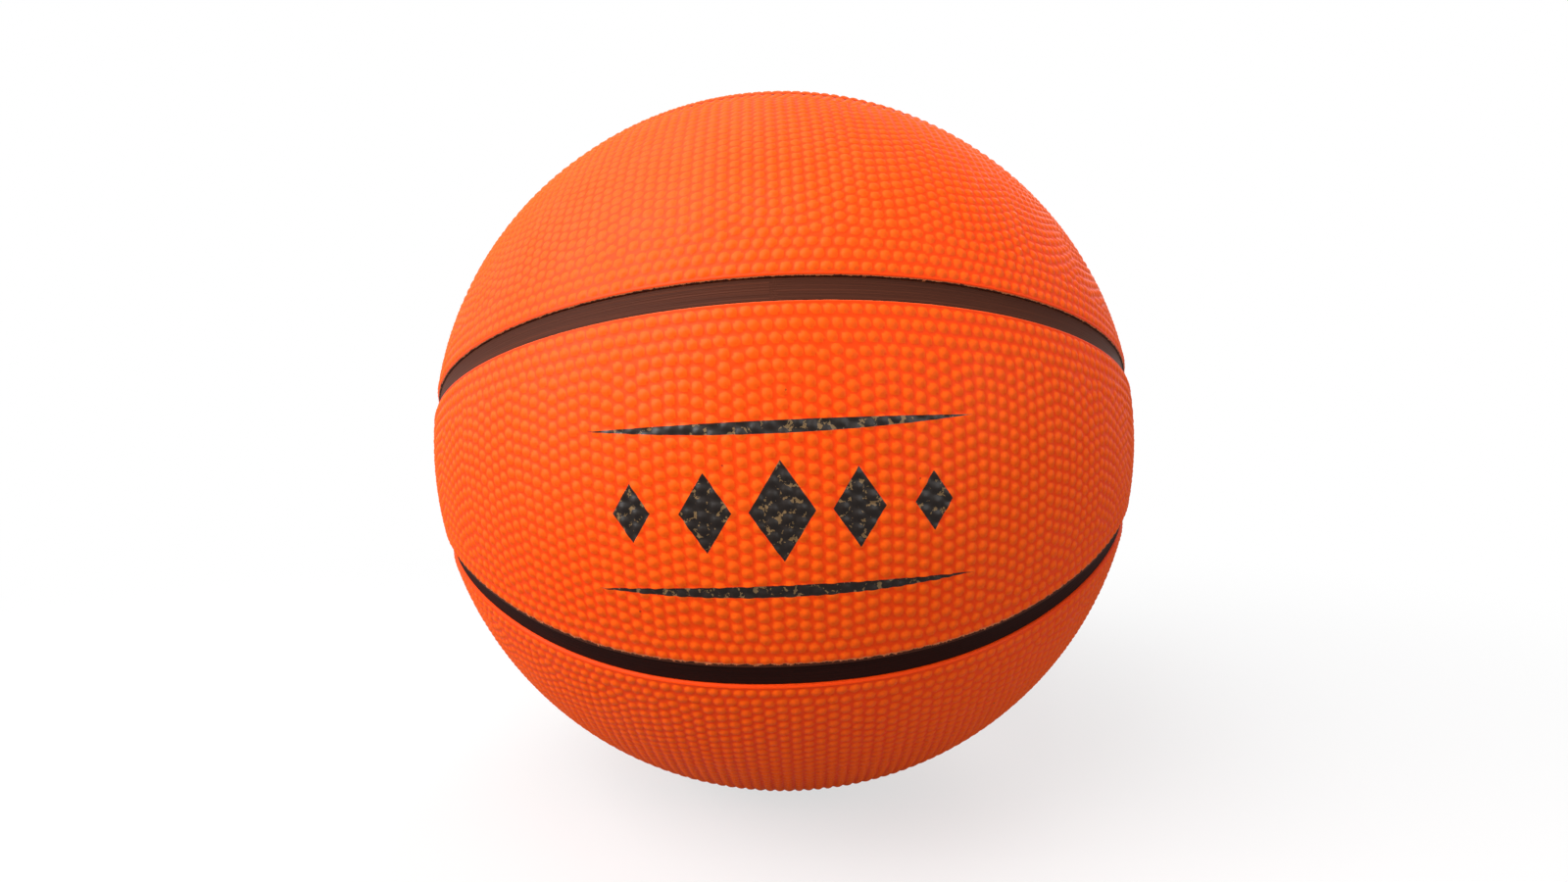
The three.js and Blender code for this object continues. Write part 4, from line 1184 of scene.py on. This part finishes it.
def floor_material():
    """A pale floor that keeps the ball's shadow: near the ball partly a diffuse grey, further out wholly the
    white of the background for camera rays. From below it lets light and sight through."""
    material = bpy.data.materials.new("pale floor")
    material.use_nodes = True
    nodes = Nodes(material.node_tree)
    nodes.tree.nodes.remove(nodes.tree.nodes["Principled BSDF"])
    where = nodes.add("TexCoord").outputs["Object"]
    reach = nodes.add("VectorMath", {0: where}, operation="LENGTH").outputs["Value"]
    rays = nodes.add("LightPath").outputs
    seen = nodes.math("MAXIMUM", rays["Is Camera Ray"], rays["Is Transmission Ray"])
    white = nodes.add("Emission", {"Color": (1, 1, 1), "Strength": 1.0}).outputs[0]
    grey = nodes.blend(seen, (0.3, 0.3, 0.3), (0.8, 0.8, 0.8))
    matt = nodes.add("BsdfDiffuse", {"Color": grey}).outputs[0]
    amount = nodes.math("MULTIPLY", seen, nodes.scaled(nodes.step(reach, 0.1, 0.5), 0.35, 0.65))
    front = nodes.add("MixShader", {0: amount, 1: matt, 2: white}).outputs[0]
    under = nodes.add("NewGeometry").outputs["Backfacing"]
    clear = nodes.add("BsdfTransparent").outputs[0]
    both = nodes.add("MixShader", {0: under, 1: front, 2: clear}).outputs[0]
    nodes.feed(nodes.tree.nodes["Material Output"].inputs["Surface"], both)
    return material


def add_to_scene(name, data):
    """A new object for the stage."""
    holder = bpy.data.objects.new(name, data)
    bpy.context.scene.collection.objects.link(holder)
    return holder


def area_light(name, position, size, power):
    """A square soft white light that faces the ball."""
    lamp = bpy.data.lights.new(name, "AREA")
    lamp.shape, lamp.size, lamp.energy = "SQUARE", size, power
    back = unit(np.array(position))
    right = unit(np.cross([0, 0, 1], back))
    matrix = np.eye(4)
    matrix[:3] = np.column_stack([right, np.cross(back, right), back, position])
    add_to_scene(name, lamp).matrix_world = Matrix(matrix.tolist())


def build_world(strength):
    """White all round for the camera, mirrors and clear pieces, and a weaker light for everything else."""
    world = bpy.data.worlds.new("studio")
    bpy.context.scene.world = world
    world.use_nodes = True
    nodes = Nodes(world.node_tree)
    nodes.tree.nodes.clear()
    rays = nodes.add("LightPath").outputs
    seen = nodes.math("MAXIMUM", rays["Is Camera Ray"], rays["Is Glossy Ray"])
    seen = nodes.math("MAXIMUM", seen, rays["Is Transmission Ray"])
    lit = nodes.add("Background", {"Color": (1, 1, 1), "Strength": strength}).outputs[0]
    white = nodes.add("Background", {"Color": (1, 1, 1), "Strength": 1.0}).outputs[0]
    mixed = nodes.add("MixShader", {0: seen, 1: lit, 2: white}).outputs[0]
    nodes.feed(nodes.add("OutputWorld").inputs["Surface"], mixed)


def build_stage():
    """Camera, floor, world and five soft lights."""
    scene = bpy.context.scene
    setup = scene.stage_setup
    camera = bpy.data.cameras.new("camera")
    camera.sensor_width, camera.lens = 36, setup.lens
    camera.clip_start, camera.clip_end = 0.005, 50
    scene.camera = add_to_scene("camera", camera)
    scene.camera.location = (0, -setup.camera_distance, 0)
    scene.camera.rotation_euler = (QUARTER, 0, 0)
    reach, level = 8.0, -scene.ball_sizes.radius
    corners = [(-reach, -reach, level), (reach, -reach, level), (reach, reach, level), (-reach, reach, level)]
    mesh = bpy.data.meshes.new("floor")
    mesh.from_pydata(corners, [], [(0, 1, 2, 3)])
    mesh.materials.append(floor_material())
    floor = add_to_scene("floor", mesh)
    area_light("key", (-0.62, -0.55, 0.72), 0.75, setup.key)
    area_light("top", (-0.25, -0.45, 0.95), 0.8, setup.top)
    area_light("side", (-0.9, -0.45, 0.35), 0.7, setup.side)
    area_light("fill", (0.75, -0.75, 0.25), 0.9, setup.fill)
    area_light("back", (0.5, 0.95, 0.55), 0.8, setup.back)
    build_world(setup.world)
    scene.view_settings.view_transform = "Standard"


# Operators, panel and registration

class LIGHTBALL_OT_finishes(bpy.types.Operator):
    """Make the materials"""

    bl_idname = "lightball.finishes"
    bl_label = "Finishes"

    def execute(self, context):
        make_materials()
        return {"FINISHED"}


class LIGHTBALL_OT_stage(bpy.types.Operator):
    """Set up the camera, the floor and the lights"""

    bl_idname = "lightball.stage"
    bl_label = "Stage"

    def execute(self, context):
        build_stage()
        return {"FINISHED"}


class LIGHTBALL_OT_inner_layers(bpy.types.Operator):
    """Finish the winding and the bladder"""

    bl_idname = "lightball.inner_layers"
    bl_label = "Inner Layers"

    def execute(self, context):
        finish_inner_layers()
        return {"FINISHED"}


class LIGHTBALL_OT_lens_panels(bpy.types.Operator):
    """Build the four long pebbled panels"""

    bl_idname = "lightball.lens_panels"
    bl_label = "Long Panels"

    def execute(self, context):
        build_panels("lens")
        return {"FINISHED"}


class LIGHTBALL_OT_cap_panels(bpy.types.Operator):
    """Build the four rounded pebbled panels"""

    bl_idname = "lightball.cap_panels"
    bl_label = "Cap Panels"

    def execute(self, context):
        build_panels("cap")
        return {"FINISHED"}


class LIGHTBALL_OT_seam_strips(bpy.types.Operator):
    """Build the nine seam strips"""

    bl_idname = "lightball.seam_strips"
    bl_label = "Seam Strips"

    def execute(self, context):
        build_strips()
        return {"FINISHED"}


class LIGHTBALL_OT_valve(bpy.types.Operator):
    """Build the valve"""

    bl_idname = "lightball.valve"
    bl_label = "Valve"

    def execute(self, context):
        build_valve()
        return {"FINISHED"}


class LIGHTBALL_OT_pockets(bpy.types.Operator):
    """Build the two light pockets"""

    bl_idname = "lightball.pockets"
    bl_label = "Light Pockets"

    def execute(self, context):
        build_pockets()
        return {"FINISHED"}


class LIGHTBALL_OT_plugs(bpy.types.Operator):
    """Build the two access plugs"""

    bl_idname = "lightball.plugs"
    bl_label = "Access Plugs"

    def execute(self, context):
        build_plugs()
        return {"FINISHED"}


class LIGHTBALL_OT_module_shells(bpy.types.Operator):
    """Build the modules' tubes, caps and domes"""

    bl_idname = "lightball.module_shells"
    bl_label = "Module Shells"

    def execute(self, context):
        build_module_shells()
        return {"FINISHED"}


class LIGHTBALL_OT_module_insides(bpy.types.Operator):
    """Build what the modules hold"""

    bl_idname = "lightball.module_insides"
    bl_label = "Module Insides"

    def execute(self, context):
        build_module_insides()
        return {"FINISHED"}


OPERATORS = (
    LIGHTBALL_OT_finishes,
    LIGHTBALL_OT_stage,
    LIGHTBALL_OT_inner_layers,
    LIGHTBALL_OT_lens_panels,
    LIGHTBALL_OT_cap_panels,
    LIGHTBALL_OT_seam_strips,
    LIGHTBALL_OT_valve,
    LIGHTBALL_OT_pockets,
    LIGHTBALL_OT_plugs,
    LIGHTBALL_OT_module_shells,
    LIGHTBALL_OT_module_insides,
)
GROUPS = {
    "ball_sizes": BallSizes,
    "pebble_sizes": PebbleSizes,
    "light_unit_sizes": LightUnitSizes,
    "valve_sizes": ValveSizes,
    "finishes": Finishes,
    "stage_setup": StageSetup,
}


class LIGHTBALL_PT_build(bpy.types.Panel):
    """Lists the steps that build the ball"""

    bl_idname = "LIGHTBALL_PT_build"
    bl_label = "Light-up Ball"
    bl_space_type = "VIEW_3D"
    bl_region_type = "UI"
    bl_category = "Light-up Ball"

    def draw(self, context):
        for operator in OPERATORS:
            self.layout.operator(operator.bl_idname)


def register():
    for item in (*GROUPS.values(), *OPERATORS, LIGHTBALL_PT_build):
        bpy.utils.register_class(item)
    for name, group in GROUPS.items():
        setattr(bpy.types.Scene, name, PointerProperty(type=group))


def unregister():
    for name in GROUPS:
        delattr(bpy.types.Scene, name)
    for item in reversed((*GROUPS.values(), *OPERATORS, LIGHTBALL_PT_build)):
        bpy.utils.unregister_class(item)


def main():
    """Registers the add-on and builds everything."""
    register()
    for operator in OPERATORS:
        group, name = operator.bl_idname.split(".")
        getattr(getattr(bpy.ops, group), name)()


if __name__ == "__main__":
    main()
